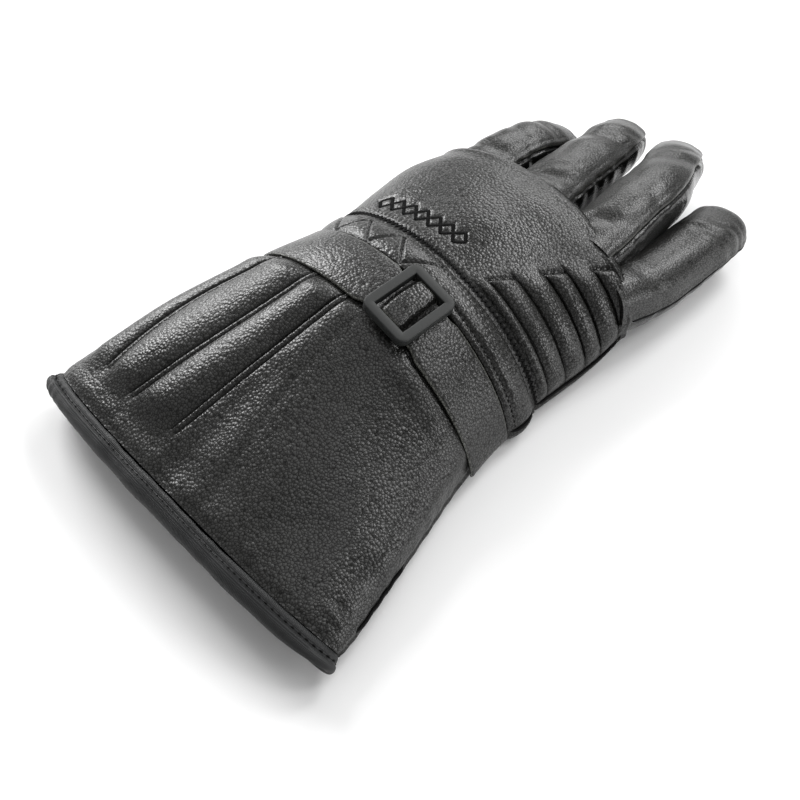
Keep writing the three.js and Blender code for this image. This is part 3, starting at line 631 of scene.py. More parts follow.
def stitches(centres, ahead, up, length, radius, turn=0.0):
    """A row of stitches. Each is a spindle of five rings of six points, whose ends bend down into
    the leather with the square of the distance. turn swings it sideways in the surface."""
    side = np.cross(ahead, up)
    along = ahead * math.cos(turn) + side * math.sin(turn)
    across = np.cross(along, up)
    u = np.array([-0.96, -0.6, 0.0, 0.6, 0.96])
    r = np.array([0.35, 0.85, 1.0, 0.85, 0.35])[:, None] * radius
    round_ = np.arange(6) * math.pi / 3
    one = np.stack(np.broadcast_arrays(
        u[:, None] * length / 2, r * np.cos(round_), r * np.sin(round_)), -1)
    one[..., 2] -= (u[:, None] ** 2) * radius * 0.9
    one = one.reshape(1, -1, 3)
    points = centres[:, None] + along[:, None] * one[..., :1] + across[:, None] * one[..., 1:2]
    points = (points + up[:, None] * one[..., 2:]).reshape(-1, 3)
    start = (np.arange(len(centres)) * 30)[:, None, None]
    sides = (grid_faces(5, 6, True)[None] + start).reshape(-1, 4)
    ends = (np.array([[0, 1, 2, 3, 4, 5], [29, 28, 27, 26, 25, 24]])[None] + start).reshape(-1, 6)
    return points, [sides, ends]


def joined(parts):
    """Several point and face sets as one."""
    points, faces, start = [], [], 0
    for p, f in parts:
        points.append(p)
        faces += [g + start for g in f]
        start += len(p)
    return np.concatenate(points), faces


def tube(points, normals, radius, sides=8):
    """A round roll along a path: rings of points square to it, closed by fans."""
    ahead = np.gradient(points, axis=0)
    ahead /= np.linalg.norm(ahead, axis=1, keepdims=True)
    side = np.cross(ahead, normals)
    side /= np.linalg.norm(side, axis=1, keepdims=True)
    up = np.cross(side, ahead)
    round_ = np.arange(sides) * 2 * math.pi / sides
    grid = points[:, None] + radius * (side[:, None] * np.cos(round_)[None, :, None]
                                       + up[:, None] * np.sin(round_)[None, :, None])
    return capped(grid)


# Materials

# Tone of painted shade in grooves, under overlaps and between pebbles, which is also the real tone of
# the fingers' side panels; and tone of the painted highlight along edges
SHADE_AND_SIDE_PANEL_TONE, PAINTED_HIGHLIGHT_TONE = "#0b0b0a", "#6c6d67"


def linear(colour):
    """Linear colour from an sRGB hex value such as #2c2d2a."""
    parts = [int(colour[k:k + 2], 16) / 255 for k in (1, 3, 5)]
    return [c / 12.92 if c <= 0.04045 else ((c + 0.055) / 1.055) ** 2.4 for c in parts] + [1.0]


def node(tree, kind, settings=None, inputs=None, links=None):
    """Adds a node: settings are its properties, inputs its socket values, links its inputs."""
    made = tree.nodes.new(kind)
    for key, value in (settings or {}).items():
        setattr(made, key, value)
    for key, value in (inputs or {}).items():
        made.inputs[key].default_value = value
    for key, source in (links or {}).items():
        tree.links.new(source, made.inputs[key])
    return made


def per_mm(size):
    """Scale of a pattern whose features are size mm apart."""
    return 1 / (size * MM)


def bands(spacing):
    """Scale of a wave pattern on a map in mm: its bands are pi / (10 scale) apart."""
    return math.pi / 10 / spacing


def cloud(tree, place, size, detail=2.0, **more):
    """A noise texture whose features are size mm apart."""
    return node(tree, "ShaderNodeTexNoise", None, {"Scale": per_mm(size), "Detail": detail, **more},
                {"Vector": place})


def mixed(tree, share, low, high):
    """The colour from low to high by share; each is a hex value or another node's output."""
    made = node(tree, "ShaderNodeMix", {"data_type": "RGBA"}, links={0: share})
    for key, colour in ((6, low), (7, high)):
        if isinstance(colour, str):
            made.inputs[key].default_value = linear(colour)
        else:
            tree.links.new(colour, made.inputs[key])
    return made.outputs[2]


def bump(tree, strength, height_mm, height, normal=None):
    """Bumps of this strength and height, on top of those that normal brings."""
    links = {"Height": height} if normal is None else {"Height": height, "Normal": normal}
    return node(tree, "ShaderNodeBump", None,
                {"Strength": strength, "Distance": height_mm * MM}, links).outputs[0]


def new_material(name):
    """An empty material and its node tree."""
    material = bpy.data.materials.new(name)
    material.use_nodes = True
    tree = material.node_tree
    tree.nodes.clear()
    return material, tree


def finish_material(tree, shader):
    """Joins the shader to the material's output."""
    node(tree, "ShaderNodeOutputMaterial", links={"Surface": shader.outputs[0]})


def leather(name, dark, light, grain, depth, rough, gloss=0.5, side=None):
    """Polyurethane leather, embossed with pebbles of grain mm and semi-gloss: its pebbles catch
    small broken highlights. Painted shade darkens the gaps between the pebbles, the sewn grooves
    and the overlaps, and a painted highlight lightens the seam and strap edges. The pebbles are
    warped every 2.4 mm so that no two look alike, lumps of 5 mm make the hide uneven, and its
    tone and shine drift over 38 mm. side is the tone of the finger's side panels."""
    material, tree = new_material(name)
    place = node(tree, "ShaderNodeTexCoord").outputs["Object"]
    warp = cloud(tree, place, 2.4)
    bent = node(tree, "ShaderNodeVectorMath", {"operation": "MULTIPLY_ADD"},
                {1: (0.0009, 0.0009, 0.0009)}, {0: warp.outputs["Color"], 2: place})
    cells = node(tree, "ShaderNodeTexVoronoi", {"feature": "SMOOTH_F1"},
                 {"Scale": per_mm(grain), "Smoothness": 0.25}, {"Vector": bent.outputs[0]})
    borders = node(tree, "ShaderNodeTexVoronoi", {"feature": "DISTANCE_TO_EDGE"},
                   {"Scale": per_mm(grain)}, {"Vector": bent.outputs[0]})
    # Painted shade in the gaps between the pebbles, which also lose their shine
    painted_gap_shade = node(tree, "ShaderNodeMapRange", None,
               {"From Min": 0.0, "From Max": 0.16, "To Min": 0.85, "To Max": 0.0},
               {"Value": borders.outputs["Distance"]})
    lumps = cloud(tree, place, 5)
    fine = cloud(tree, place, 0.4)
    patches = cloud(tree, place, 38, 3.0, Roughness=0.6)
    crease = node(tree, "ShaderNodeAttribute", {"attribute_name": "crease"})
    edge = node(tree, "ShaderNodeAttribute", {"attribute_name": "edge"})
    colour = mixed(tree, patches.outputs["Fac"], dark, light)
    # Painted shade: sewn grooves, seams and overlaps darkened towards the shade tone
    colour = mixed(tree, crease.outputs["Fac"], colour, SHADE_AND_SIDE_PANEL_TONE)
    # Painted highlight along seam edges and the strap's cut edges
    colour = mixed(tree, edge.outputs["Fac"], colour, PAINTED_HIGHLIGHT_TONE)
    # Painted shade in the pebble gaps
    colour = mixed(tree, painted_gap_shade.outputs[0], colour, SHADE_AND_SIDE_PANEL_TONE)
    shine = node(tree, "ShaderNodeMapRange", inputs={"From Min": 0.3, "From Max": 0.7,
                                                     "To Min": rough - 0.05, "To Max": rough + 0.07},
                 links={"Value": patches.outputs["Fac"]}).outputs[0]
    if side is not None:
        below = node(tree, "ShaderNodeAttribute", {"attribute_name": "side"})
        colour = mixed(tree, below.outputs["Fac"], colour, side)
        shine = node(tree, "ShaderNodeMix", {"data_type": "FLOAT"}, {3: rough - 0.12},
                     {0: below.outputs["Fac"], 2: shine}).outputs[0]
    waves = bump(tree, 0.8, depth, lumps.outputs["Fac"])
    pebbles = node(tree, "ShaderNodeBump", {"invert": True}, {"Strength": 1.0, "Distance": depth * MM},
                   {"Height": cells.outputs["Distance"], "Normal": waves}).outputs[0]
    pores = bump(tree, 0.35, 0.04, fine.outputs["Fac"], pebbles)
    hidden = node(tree, "ShaderNodeMath", {"operation": "MAXIMUM"},
                  links={0: painted_gap_shade.outputs[0], 1: crease.outputs["Fac"]})
    glint = node(tree, "ShaderNodeMapRange", inputs={"To Min": gloss, "To Max": 0.04},
                 links={"Value": hidden.outputs[0]})
    shader = node(tree, "ShaderNodeBsdfPrincipled", inputs={"IOR": 1.5},
                  links={"Base Color": colour, "Roughness": shine, "Normal": pores,
                         "Specular IOR Level": glint.outputs[0]})
    finish_material(tree, shader)
    return material


def satin_cloth(name, dark, light):
    """Woven polyester tape with a satin finish: its threads, 0.75 by 0.52 mm apart, show as fine
    ribs, and the folds shine softly."""
    material, tree = new_material(name)
    flat = node(tree, "ShaderNodeUVMap", {"uv_map": "weave"}).outputs[0]
    warp = node(tree, "ShaderNodeTexWave", {"wave_type": "BANDS", "bands_direction": "X"},
                {"Scale": bands(0.75), "Distortion": 0.4, "Detail": 1.0}, {"Vector": flat})
    weft = node(tree, "ShaderNodeTexWave", {"wave_type": "BANDS", "bands_direction": "Y"},
                {"Scale": bands(0.52), "Distortion": 0.4, "Detail": 1.0}, {"Vector": flat})
    weave = node(tree, "ShaderNodeMath", {"operation": "MULTIPLY"},
                 links={0: warp.outputs["Fac"], 1: weft.outputs["Fac"]})
    place = node(tree, "ShaderNodeTexCoord").outputs["Object"]
    tone = mixed(tree, cloud(tree, place, 17, 3.0).outputs["Fac"], dark, light)
    woven = mixed(tree, weave.outputs[0], "#08090a", tone)
    shader = node(tree, "ShaderNodeBsdfPrincipled",
                  inputs={"Roughness": 0.48, "IOR": 1.45, "Specular IOR Level": 0.5},
                  links={"Base Color": woven, "Normal": bump(tree, 0.7, 0.16, weave.outputs[0])})
    finish_material(tree, shader)
    return material


def matt_plastic(name, colour, light):
    """Moulded acetal with a spark-eroded grain of 0.3 mm: dark grey, and matt to the eye."""
    material, tree = new_material(name)
    place = node(tree, "ShaderNodeTexCoord").outputs["Object"]
    tone = mixed(tree, cloud(tree, place, 11).outputs["Fac"], colour, light)
    grain = bump(tree, 0.5, 0.05, cloud(tree, place, 0.3).outputs["Fac"])
    shader = node(tree, "ShaderNodeBsdfPrincipled", inputs={"Roughness": 0.55, "IOR": 1.48},
                  links={"Base Color": tone, "Normal": grain})
    finish_material(tree, shader)
    return material


def thread(name, colour):
    """Bonded nylon sewing thread: nearly black and dull, with a twist of 0.4 mm that breaks up
    its shine."""
    material, tree = new_material(name)
    place = node(tree, "ShaderNodeTexCoord").outputs["Object"]
    twist = cloud(tree, place, 0.4, 1.0).outputs["Fac"]
    shader = node(tree, "ShaderNodeBsdfPrincipled",
                  inputs={"Roughness": 0.8, "Specular IOR Level": 0.15},
                  links={"Base Color": mixed(tree, twist, colour, "#0b0b0b"),
                         "Normal": bump(tree, 0.6, 0.08, twist)})
    finish_material(tree, shader)
    return material


def painted_floor(name, colour):
    """Matt white studio board: it stays even and pale, and takes soft shadows."""
    material, tree = new_material(name)
    place = node(tree, "ShaderNodeTexCoord").outputs["Object"]
    tone = mixed(tree, cloud(tree, place, 330).outputs["Fac"], colour, "#fafafa")
    shader = node(tree, "ShaderNodeBsdfPrincipled", inputs={"Roughness": 0.9},
                  links={"Base Color": tone})
    finish_material(tree, shader)
    return material


def material_of(name):
    """The glove's materials, each made the first time that a piece asks for it."""
    made = bpy.data.materials.get(name)
    if made is not None:
        return made
    tones = bpy.context.scene.glove_colours
    if name == "pebbled_black_leather":
        return leather(name, tones.leather_dark, tones.leather_light, 1.35, 0.21, 0.33, 0.65)
    if name == "soft_finger_leather":
        return leather(name, tones.finger_dark, tones.finger_light, 1.1, 0.11, 0.35, 0.65,
                       SHADE_AND_SIDE_PANEL_TONE)
    if name == "matt_palm_leather":
        return leather(name, tones.palm_dark, tones.palm_light, 1.2, 0.16, 0.5)
    if name == "satin_binding_cloth":
        return satin_cloth(name, tones.binding, "#1a1d1f")
    if name == "moulded_dark_plastic":
        return matt_plastic(name, tones.plastic, "#212322")
    if name == "black_nylon_thread":
        return thread(name, "#040404")
    raise KeyError(name)


# Pieces

def body_panel(name, place, relief, angles, ways, wall, material, node_name, slot, values=None):
    """A walled panel of the body over a grid of angles and ways along the glove."""
    a, b = np.meshgrid(angles, ways)
    outer, normals, skin = lifted(place, a, b, relief)
    outer[..., 2] = np.maximum(outer[..., 2], 0.05)
    points, faces, extra = walled(outer, normals, skin, wall)
    made = values(skin, a, b) if values else {}
    return make_piece(f"{name}_leather", points, faces, material_of(material), (node_name,), slot,
                      with_inner(made, extra))


def gauntlet_values(skin, angle, y):
    """Painted shade darkens the sewn grooves of the pintucks and the line where each tuck starts."""
    dark = 0.0
    for tuck in PINTUCKS:
        off = beside_tuck(tuck, angle, y)
        fade = smooth(tuck[3] - 0.6, tuck[3], y)
        dark = dark + fade * tuck_grooves(off) + bell(y - tuck[3], 0.4) * (np.abs(off) < TUCK_HALF)
    return {"crease": np.clip(dark, 0, 1) * (np.sin(angle) > 0)}


def rib_values(skin, angle, way):
    """Painted shade darkens the sewn lines of the ribs, the wrist seam with its zigzag row, the strip
    under the knuckle edge and the line where the knuckle edge overlaps the fingers.
    """
    x, y = skin[..., 0], skin[..., 1]
    lines = rib_lines(y, 0.4) * smooth(-1, 1, x - rib_edge(y))
    seam = 0.8 * bell(y - WRIST_SEAM, 0.7) + 0.4 * bell(y - WRIST_ZIGZAG, 2.4)
    # Painted shade under the knuckle edge and along the line where it overlaps the fingers
    edge = 0.85 * shaded_overcast_strip(x, way) + 0.7 * bell(way - 217, 1.6) * smooth(-3, -8, x)
    dark = 0.95 * lines + seam + edge
    return {"crease": np.clip(dark, 0, 1) * (np.sin(angle) > -0.05)}


def wrist_values(skin, angle, y):
    """Painted shade darkens the quilted grooves and the seam with the hand."""
    x = skin[..., 0]
    quilt = bell(to_line(x, skin[..., 1], QUILTING), 0.5) * (1 - smooth(0, 6, x))
    seam = 0.6 * bell(y - WRIST_SEAM, 1.0) + 0.4 * bell(y - WRIST_SEAM + 0.4, 2.0)
    return {"crease": np.clip(0.8 * quilt + seam, 0, 1) * (np.sin(angle) > 0)}


def build_gauntlet():
    """Both panels of the gauntlet; the back is finer where the pintucks are."""
    angles = np.concatenate([np.linspace(0, 1.4, 109)[:-1], np.linspace(1.4, 2.6, 289)[:-1],
                             np.linspace(2.6, math.pi, 37)])
    body_panel("gauntlet_back", body, gauntlet_relief, angles,
               np.linspace(0, GAUNTLET_TO, 161), LEATHER_WALL, "pebbled_black_leather",
               "gauntlet_back", "black_leather", gauntlet_values)
    body_panel("gauntlet_palm", body, gauntlet_relief, np.linspace(math.pi, 2 * math.pi, 181),
               np.linspace(0, GAUNTLET_TO, 121), LEATHER_WALL, "matt_palm_leather",
               "gauntlet_palm", "palm_leather")


def build_wrist():
    """Both panels of the wrist band, with their padding."""
    for name, start, count, material, slot in (
            ("wrist_band_back", 0.0, 481, "pebbled_black_leather", "black_leather"),
            ("wrist_band_palm", math.pi, 161, "matt_palm_leather", "palm_leather")):
        piece = body_panel(name, body, wrist_relief, np.linspace(start, start + math.pi, count),
                           np.linspace(WRIST_FROM, WRIST_TO, 49), PADDED_WALL, material, name, slot,
                           wrist_values if start == 0 else None)


def build_hand():
    """Both panels of the hand, with their padding."""
    ways = np.concatenate([np.linspace(HAND_FROM, 210, 181), np.linspace(210.5, HAND_TO, 44)])
    piece = body_panel("hand_back", hand, hand_relief, np.linspace(0, math.pi, 361), ways,
                       PADDED_WALL, "pebbled_black_leather", "hand_back", "black_leather", rib_values)
    palm = body_panel("hand_palm", hand, hand_relief, np.linspace(math.pi, 2 * math.pi, 181),
                      ways[::2], PADDED_WALL, "matt_palm_leather", "hand_palm", "palm_leather")


def build_fingers():
    """Closed skins of the four fingers and the thumb."""
    for name in FINGERS:
        place, above_seam = finger_place(name)
        relief = finger_relief(name, above_seam)
        count = 100 if name == "thumb" else 160
        tip = 1 + np.linspace(0, 0.985, count // 4 + 6)[1:]
        ways = np.concatenate([np.linspace(-0.12, 1, count - 9), tip])
        a, b = np.meshgrid(np.arange(count) * 2 * math.pi / count, ways)
        outer, _, _ = lifted(place, a, b, relief)
        outer[..., 2] = np.maximum(outer[..., 2], 0.05)
        points, faces = capped(outer)
        over = above_seam(a, b)
        # Painted shade in the groove under the back panel's lip, and a painted highlight along the
        # lip's edge
        groove = np.clip(bell(over + 1.0, 0.6), 0, 1)
        values = with_inner({"crease": 0.9 * groove, "edge": 0.7 * bell(over - 0.15, 0.3),
                             "side": 1 - smooth(-1.2, -0.4, over)}, 2)
        values["side"][-1] = 1
        if name == "thumb":
            make_piece("thumb_leather", points, faces, material_of("matt_palm_leather"), ("thumb",),
                       "palm_leather", {"crease": values["crease"]})
        else:
            make_piece(f"{name}_finger_leather", points, faces, material_of("soft_finger_leather"),
                       (f"{name}_finger_back", f"{name}_finger_palm"), "finger_leather", values)


def binding_place(round_, angle):
    """The flat roll of the hem: an oval profile carried round the mouth. It is thin where it is
    folded over the leather's edge and stitched, and full outside the stitches. It narrows at
    both sides of the glove."""
    narrow = 1 - 0.16 * np.abs(np.cos(angle)) ** 6
    y = BINDING_MIDDLE - BINDING_WIDTH / 2 * signed_power(np.sin(round_), 0.7)
    half = BINDING_THICKNESS / 2 - 1.15 * smooth(-4.4, -3.2, y)
    inset = LEATHER_WALL / 2 - half * np.cos(round_)
    rim = body(angle, 0.0, inset)
    skin = body(angle, np.maximum(y, BODY[0, 0]), inset)
    return np.stack([skin[..., 0], rim[..., 1] + y * narrow, np.maximum(skin[..., 2], 0)], -1)


def binding_relief(p, round_, angle):
    """Soft dents, puckers at the thumb side's corner, and a dimple along the stitches."""
    dents = 0.45 * noise(p, 14, 32) + 0.22 * noise(p * (0.6, 0.4, 0.6), 4, 31)
    corner = bell(p[..., 0] + 92, 13) * 0.3 * np.cos(angle * 48 + 2 * noise(p, 7, 33))
    groove = -0.75 * bell(p[..., 1] - body(angle, 0.0)[..., 1] - STITCH_ON_BINDING, 0.7)
    return dents + corner + groove * (np.cos(round_) > 0)


def build_binding():
    """The binding's cloth, with a map in mm for its weave."""
    count, sides = 640, 36
    a, b = np.meshgrid(np.arange(sides) * 2 * math.pi / sides,
                       np.arange(count) * 2 * math.pi / count)
    p, _, _ = lifted(binding_place, a, b, binding_relief)
    p[..., 2] = np.maximum(p[..., 2], 0.02)
    way = np.concatenate([[0], np.cumsum(np.linalg.norm(np.diff(p[:, 0], axis=0), axis=1))])
    uv = np.stack([np.broadcast_to(way[:, None], a.shape), a * 4.0], -1).reshape(-1, 2)
    make_piece("hem_binding_cloth", p.reshape(-1, 3), [grid_faces(count, sides, True, True)],
               material_of("satin_binding_cloth"), ("hem_binding",), "binding_cloth", uv=uv)


def buckle_seat():
    """The place of the buckle's seat on the gauntlet, and how it tilts about X and about Y."""
    at = angle_over(BUCKLE_X, STRAP_MIDDLE)
    seat = body(at, STRAP_MIDDLE, -STRAP_OUTER)
    ahead = body(at - 0.05, STRAP_MIDDLE) - body(at + 0.05, STRAP_MIDDLE)
    rise = body(at, STRAP_FROM + STRAP_WIDTH)[2] - body(at, STRAP_FROM)[2]
    return seat, math.atan2(rise, STRAP_WIDTH), -math.atan2(ahead[2], ahead[0])


def build_strap():
    """A flat band over the gauntlet's back: a thin rounded profile carried from seam to seam,
    which narrows and bends up over the buckle's bar."""
    seat = buckle_seat()[0]
    angles = np.linspace(-0.03, math.pi + 0.03, 420)
    away = np.abs(body(angles, STRAP_MIDDLE, -STRAP_OUTER - OVER_BAR / 2)[..., 0] - seat[0])
    squeeze = STRAP_SQUEEZE * (1 - smooth(13, 20, away))
    hump = OVER_BAR * (1 - smooth(BAR_WIDTH + 0.5, HUMP_REACH, away))
    half, thick = STRAP_WIDTH / 2, STRAP_THICKNESS / 2
    along = np.concatenate([np.linspace(-1, 1, 27), np.linspace(1, -1, 27)])
    top = np.concatenate([np.ones(27), -np.ones(27)])
    edge = 1 - np.clip((np.abs(along) - 0.93) / 0.07, 0, 1) ** 3 * 0.55
    y = STRAP_MIDDLE + along[None] * (half - squeeze)[:, None]
    lift = STRAP_AIR + (STRAP_LIFT - STRAP_AIR) * (1 - smooth(10, 26, away))
    height = (lift + thick + hump)[:, None] + (thick * top * edge)[None]
    p = body(angles[:, None], y, -height)
    crown = 0.35 * (1 - along[None] ** 2) * (top[None] > 0)
    sag = 0.25 * noise(p, 18, 41) * (top[None] > 0)
    p[..., 2] = np.maximum(p[..., 2] + crown + sag, 0.3)
    points, faces = capped(p)
    faces = [f[:, ::-1] for f in faces]
    # Painted highlight along the strap's cut edges
    light = np.broadcast_to((np.abs(along) > 0.985)[None], p.shape[:2]).astype(float) * 0.6
    make_piece("strap_leather", points, faces, material_of("pebbled_black_leather"), ("strap",),
               "black_leather", with_inner({"edge": light}, 2))


def build_buckle():
    """A rounded rectangle's line with a rounded, bevelled profile carried along it, and a bar
    across the middle."""
    seat, pitch, roll = buckle_seat()
    corner = BUCKLE_CORNER - BUCKLE_RAIL / 2
    half_x = (BUCKLE_LENGTH - BUCKLE_RAIL) / 2
    half_y = (BUCKLE_WIDTH - BUCKLE_RAIL) / 2
    turn = np.concatenate([(k + np.linspace(0, 1, 9)) * math.pi / 2 for k in range(4)])
    centre = np.repeat([(1, 1), (-1, 1), (-1, -1), (1, -1)], 9, axis=0)
    centre = centre * (half_x - corner, half_y - corner)
    out = np.stack([np.cos(turn), np.sin(turn)], -1)
    line = centre + corner * out
    round_ = np.arange(20) * 2 * math.pi / 20
    width = BUCKLE_RAIL / 2 * signed_power(np.cos(round_), 0.25)
    height = BUCKLE_HEIGHT / 2 * (1 + signed_power(np.sin(round_), 0.25)) + BUCKLE_LIFT
    ring = np.concatenate([line[:, None] + out[:, None] * width[None, :, None],
                           np.broadcast_to(height[None, :, None], (len(line), 20, 1))], -1)
    faces = grid_faces(len(line), 20, True, True)[:, ::-1]
    length = np.linspace(-half_y, half_y, 12)
    bar_turn = np.arange(16) * 2 * math.pi / 16
    bar = np.stack(np.broadcast_arrays(
        BAR_WIDTH / 2 * np.cos(bar_turn)[None], length[:, None],
        BUCKLE_LIFT + BAR_HEIGHT / 2 + BAR_HEIGHT / 2 * np.sin(bar_turn)[None]), -1)
    points, all_faces = joined([(ring.reshape(-1, 3), [faces]), capped(bar)])
    cp, sp, cr, sr = math.cos(pitch), math.sin(pitch), math.cos(roll), math.sin(roll)
    about_x = np.array([[1, 0, 0], [0, cp, -sp], [0, sp, cp]])
    about_y = np.array([[cr, 0, sr], [0, 1, 0], [-sr, 0, cr]])
    points = points @ (about_y @ about_x).T + seat
    make_piece("buckle_frame", points, all_faces, material_of("moulded_dark_plastic"), ("buckle",),
               "dark_plastic", sharp=60)


def sewn(place, relief, a, b, spacing, length, radius, sink=0.25, turn=0.0):
    """Stitches along a path on a surface, sunk into it by sink, and turned across the path by
    turn."""
    p, n, _ = lifted(place, a, b, relief)
    centres, ahead, up = spaced(p, n, spacing)
    return stitches(centres - up * (sink - radius), ahead, up, length, radius, turn)


def zigzag(place, relief, a, b, spacing, length, radius, lean=1.1):
    """Stitches that lean left and right in turn, as a zigzag machine sews them."""
    p, n, _ = lifted(place, a, b, relief)
    centres, ahead, up = spaced(p, n, spacing)
    centres = centres + up * (radius * 2)
    even = stitches(centres[::2], ahead[::2], up[::2], length, radius, lean)
    odd = stitches(centres[1::2], ahead[1::2], up[1::2], length, radius, -lean)
    return joined([even, odd])


def over_line(corners, count):
    """Angles and ways of count points along a line with corners, drawn in x and y on the body's
    back. The ways are found step by step, since the knuckle edge bows; the first four steps
    start from the line's own y each time."""
    corners = np.asarray(corners, float)
    way = np.concatenate([[0], np.cumsum(np.linalg.norm(np.diff(corners, axis=0), axis=1))])
    at = np.linspace(0, way[-1], count)
    x = np.interp(at, way, corners[:, 0])
    y = np.interp(at, way, corners[:, 1])
    angle, y_way = angle_over(x, y), y
    for step in range(10):
        start = y if step < 4 else y_way
        y_way = start + (y - body(angle, start)[..., 1])
        angle = angle_over(x, y_way)
    return angle, y_way


def build_stitching():
    """Thread of the hem and the pintucks, of the wrist band, and of the hand."""
    size = bpy.context.scene.glove_sizes
    spacing, radius = size.stitch_spacing / MM, size.thread_radius / MM
    length = spacing * 0.8
    material = material_of("black_nylon_thread")
    parts = []
    hem = np.linspace(-0.4, math.pi + 0.4, 400)
    share = (STITCH_ON_BINDING - BINDING_MIDDLE) / (BINDING_WIDTH / 2)
    on_binding = -math.asin(share ** (1 / 0.7))
    parts.append(sewn(binding_place, binding_relief, np.full(400, on_binding), hem,
                      3.4, 2.3, radius * 1.3))
    for tuck in PINTUCKS:
        for side in (-TUCK_HALF, TUCK_HALF):
            y = np.linspace(tuck[3], 94, 80)
            angle = tuck_angle(tuck, y) + side / around(tuck_angle(tuck, y), y)
            parts.append(sewn(body, gauntlet_relief, angle, y, 2.2, 2.0, 0.26))
    make_piece("gauntlet_thread", *joined(parts), material, slot="black_leather")

    near = np.linspace(0.03, angle_over(8.0, ROLL_LINE), 200)
    parts = [sewn(body, wrist_relief, near, np.full(200, ROLL_LINE), 2.6, 2.0, radius)]
    angle, way = over_line(QUILTING, 140)
    parts.append(sewn(body, wrist_relief, angle, way, 2.6, 2.0, radius * 0.9))
    make_piece("wrist_thread", *joined(parts), material, slot="black_leather")

    seam = np.linspace(0.03, math.pi - 0.03, 500)
    parts = [zigzag(hand, hand_relief, seam, np.full(500, WRIST_ZIGZAG), 1.35, 4.6, radius * 1.4)]
    ribs = [([(x, y), (RIB_LINES_END, y)], 80) for y, x in RIB_LINES]
    for line, count in ribs + [(line, 30) for line in rib_ends()]:
        angle, way = over_line(line, count)
        parts.append(sewn(hand, hand_relief, angle, way, spacing, length, radius))
    for phase in (0, 1):
        angle, way = over_line(motif_line(phase), 200)
        parts.append(sewn(hand, hand_relief, angle, way, 0.62, 2.1, radius * 0.95, 0.0, math.pi / 2))
    make_piece("hand_thread", *joined(parts), material, slot="black_leather")


def build_piping():
    """The edge where the panels are sewn together on the little-finger side: a thin dark roll
    with overcast stitches, from the mouth to the wrist and on to the little finger's tip."""
    outwards, up = [1.0, 0.0, 0.0], [0.0, 0.0, 1.0]
    parts = []
    for place, relief, start, stop in ((body, gauntlet_relief, 9.0, 46.0),
                                       (body, wrist_relief, 121.3, 139.5),
                                       (hand, hand_relief, 140.2, 205.0)):
        y = np.linspace(start, stop, int((stop - start) * 1.5))
        n = np.tile(outwards, (len(y), 1))
        sunk = 1 - smooth(0, 5, y - start) * smooth(0, 5, stop - y)
        p = lifted(place, np.full(len(y), 0.0), y, relief)[0] + n * (0.5 - 1.4 * sunk)[:, None]
        parts.append(tube(p, np.tile(up, (len(y), 1)), 0.6))
        parts.append(stitches(*spaced(p, n, 2.1), 1.9, 0.3, 1.1))
    place, above_seam = finger_place("little")
    way = np.linspace(-0.02, 1.55, 160)
    angle = np.full(160, FINGERS["little"]["seams"][0])
    for _ in range(12):
        angle = angle - above_seam(angle, way) / 18
    p, n, _ = lifted(place, angle, way, finger_relief("little", above_seam))
    p = p - n * 0.1
    parts.append(tube(p, np.tile(up, (160, 1)), 0.75))
    parts.append(stitches(*spaced(p, n, 2.1), 1.9, 0.35, 1.1))
    make_piece("edge_piping", *joined(parts), material_of("black_nylon_thread"), slot="black_leather")


def area_light(name, place, size, power):
    """A square soft light that faces the middle of the glove."""
    light = bpy.data.lights.new(name, "AREA")
    light.size = size
    light.energy = power
    lamp = bpy.data.objects.new(name, light)
    bpy.context.scene.collection.objects.link(lamp)
    lamp.location = place
    lamp.rotation_euler = facing(np.array(place))


def facing(back):
    """Euler angles that turn an object's +Z to this direction."""
    x, y, z = back / np.linalg.norm(back)
    return (math.acos(z), 0.0, math.atan2(y, x) + math.pi / 2)


def build_stage():
    """The board, the even light of the studio, the softboxes and the camera."""
    mesh = bpy.data.meshes.new("floor")
    half = 3.0
    corners = [(-half, -half, 0), (half, -half, 0), (half, half, 0), (-half, half, 0)]
    mesh.from_pydata(corners, [], [(0, 1, 2, 3)])
    floor = bpy.data.objects.new("floor", mesh)
    mesh.materials.append(painted_floor("matt_white_board", bpy.context.scene.glove_colours.floor))
    bpy.context.scene.collection.objects.link(floor)

    world = bpy.data.worlds.new("studio")
    bpy.context.scene.world = world
    world.use_nodes = True
    background = world.node_tree.nodes["Background"]
    background.inputs["Color"].default_value = (1, 1, 1, 1)
    background.inputs["Strength"].default_value = AMBIENT

    for name, place, size, power in SOFTBOXES:
        area_light(name, place, size, power)

    azimuth, elevation = np.radians([CAMERA_AZIMUTH, CAMERA_ELEVATION])
    back = np.array([math.sin(azimuth) * math.cos(elevation),
                     -math.cos(azimuth) * math.cos(elevation), math.sin(elevation)])
    aim = (np.array(CAMERA_AIM) + SHIFT) * MM
    camera = bpy.data.cameras.new("camera")
    camera.sensor_width = 36
    camera.lens = CAMERA_LENS
    camera.clip_start = 0.01
    viewer = bpy.data.objects.new("camera", camera)
    bpy.context.scene.collection.objects.link(viewer)
    viewer.location = aim + back * CAMERA_DISTANCE
    viewer.rotation_euler = facing(back)
    bpy.context.scene.camera = viewer
    bpy.context.scene.view_settings.view_transform = "Standard"


# Add-on

class GloveSizes(bpy.types.PropertyGroup):
    """Sizes that can be changed without touching the solids."""
    stitch_spacing: FloatProperty(
        name="Stitch spacing", description="Distance from stitch to stitch",
        default=2.8 * MM, unit="LENGTH")
    thread_radius: FloatProperty(
        name="Thread radius", description="Half the thickness of the sewing thread",
        default=0.32 * MM, unit="LENGTH")


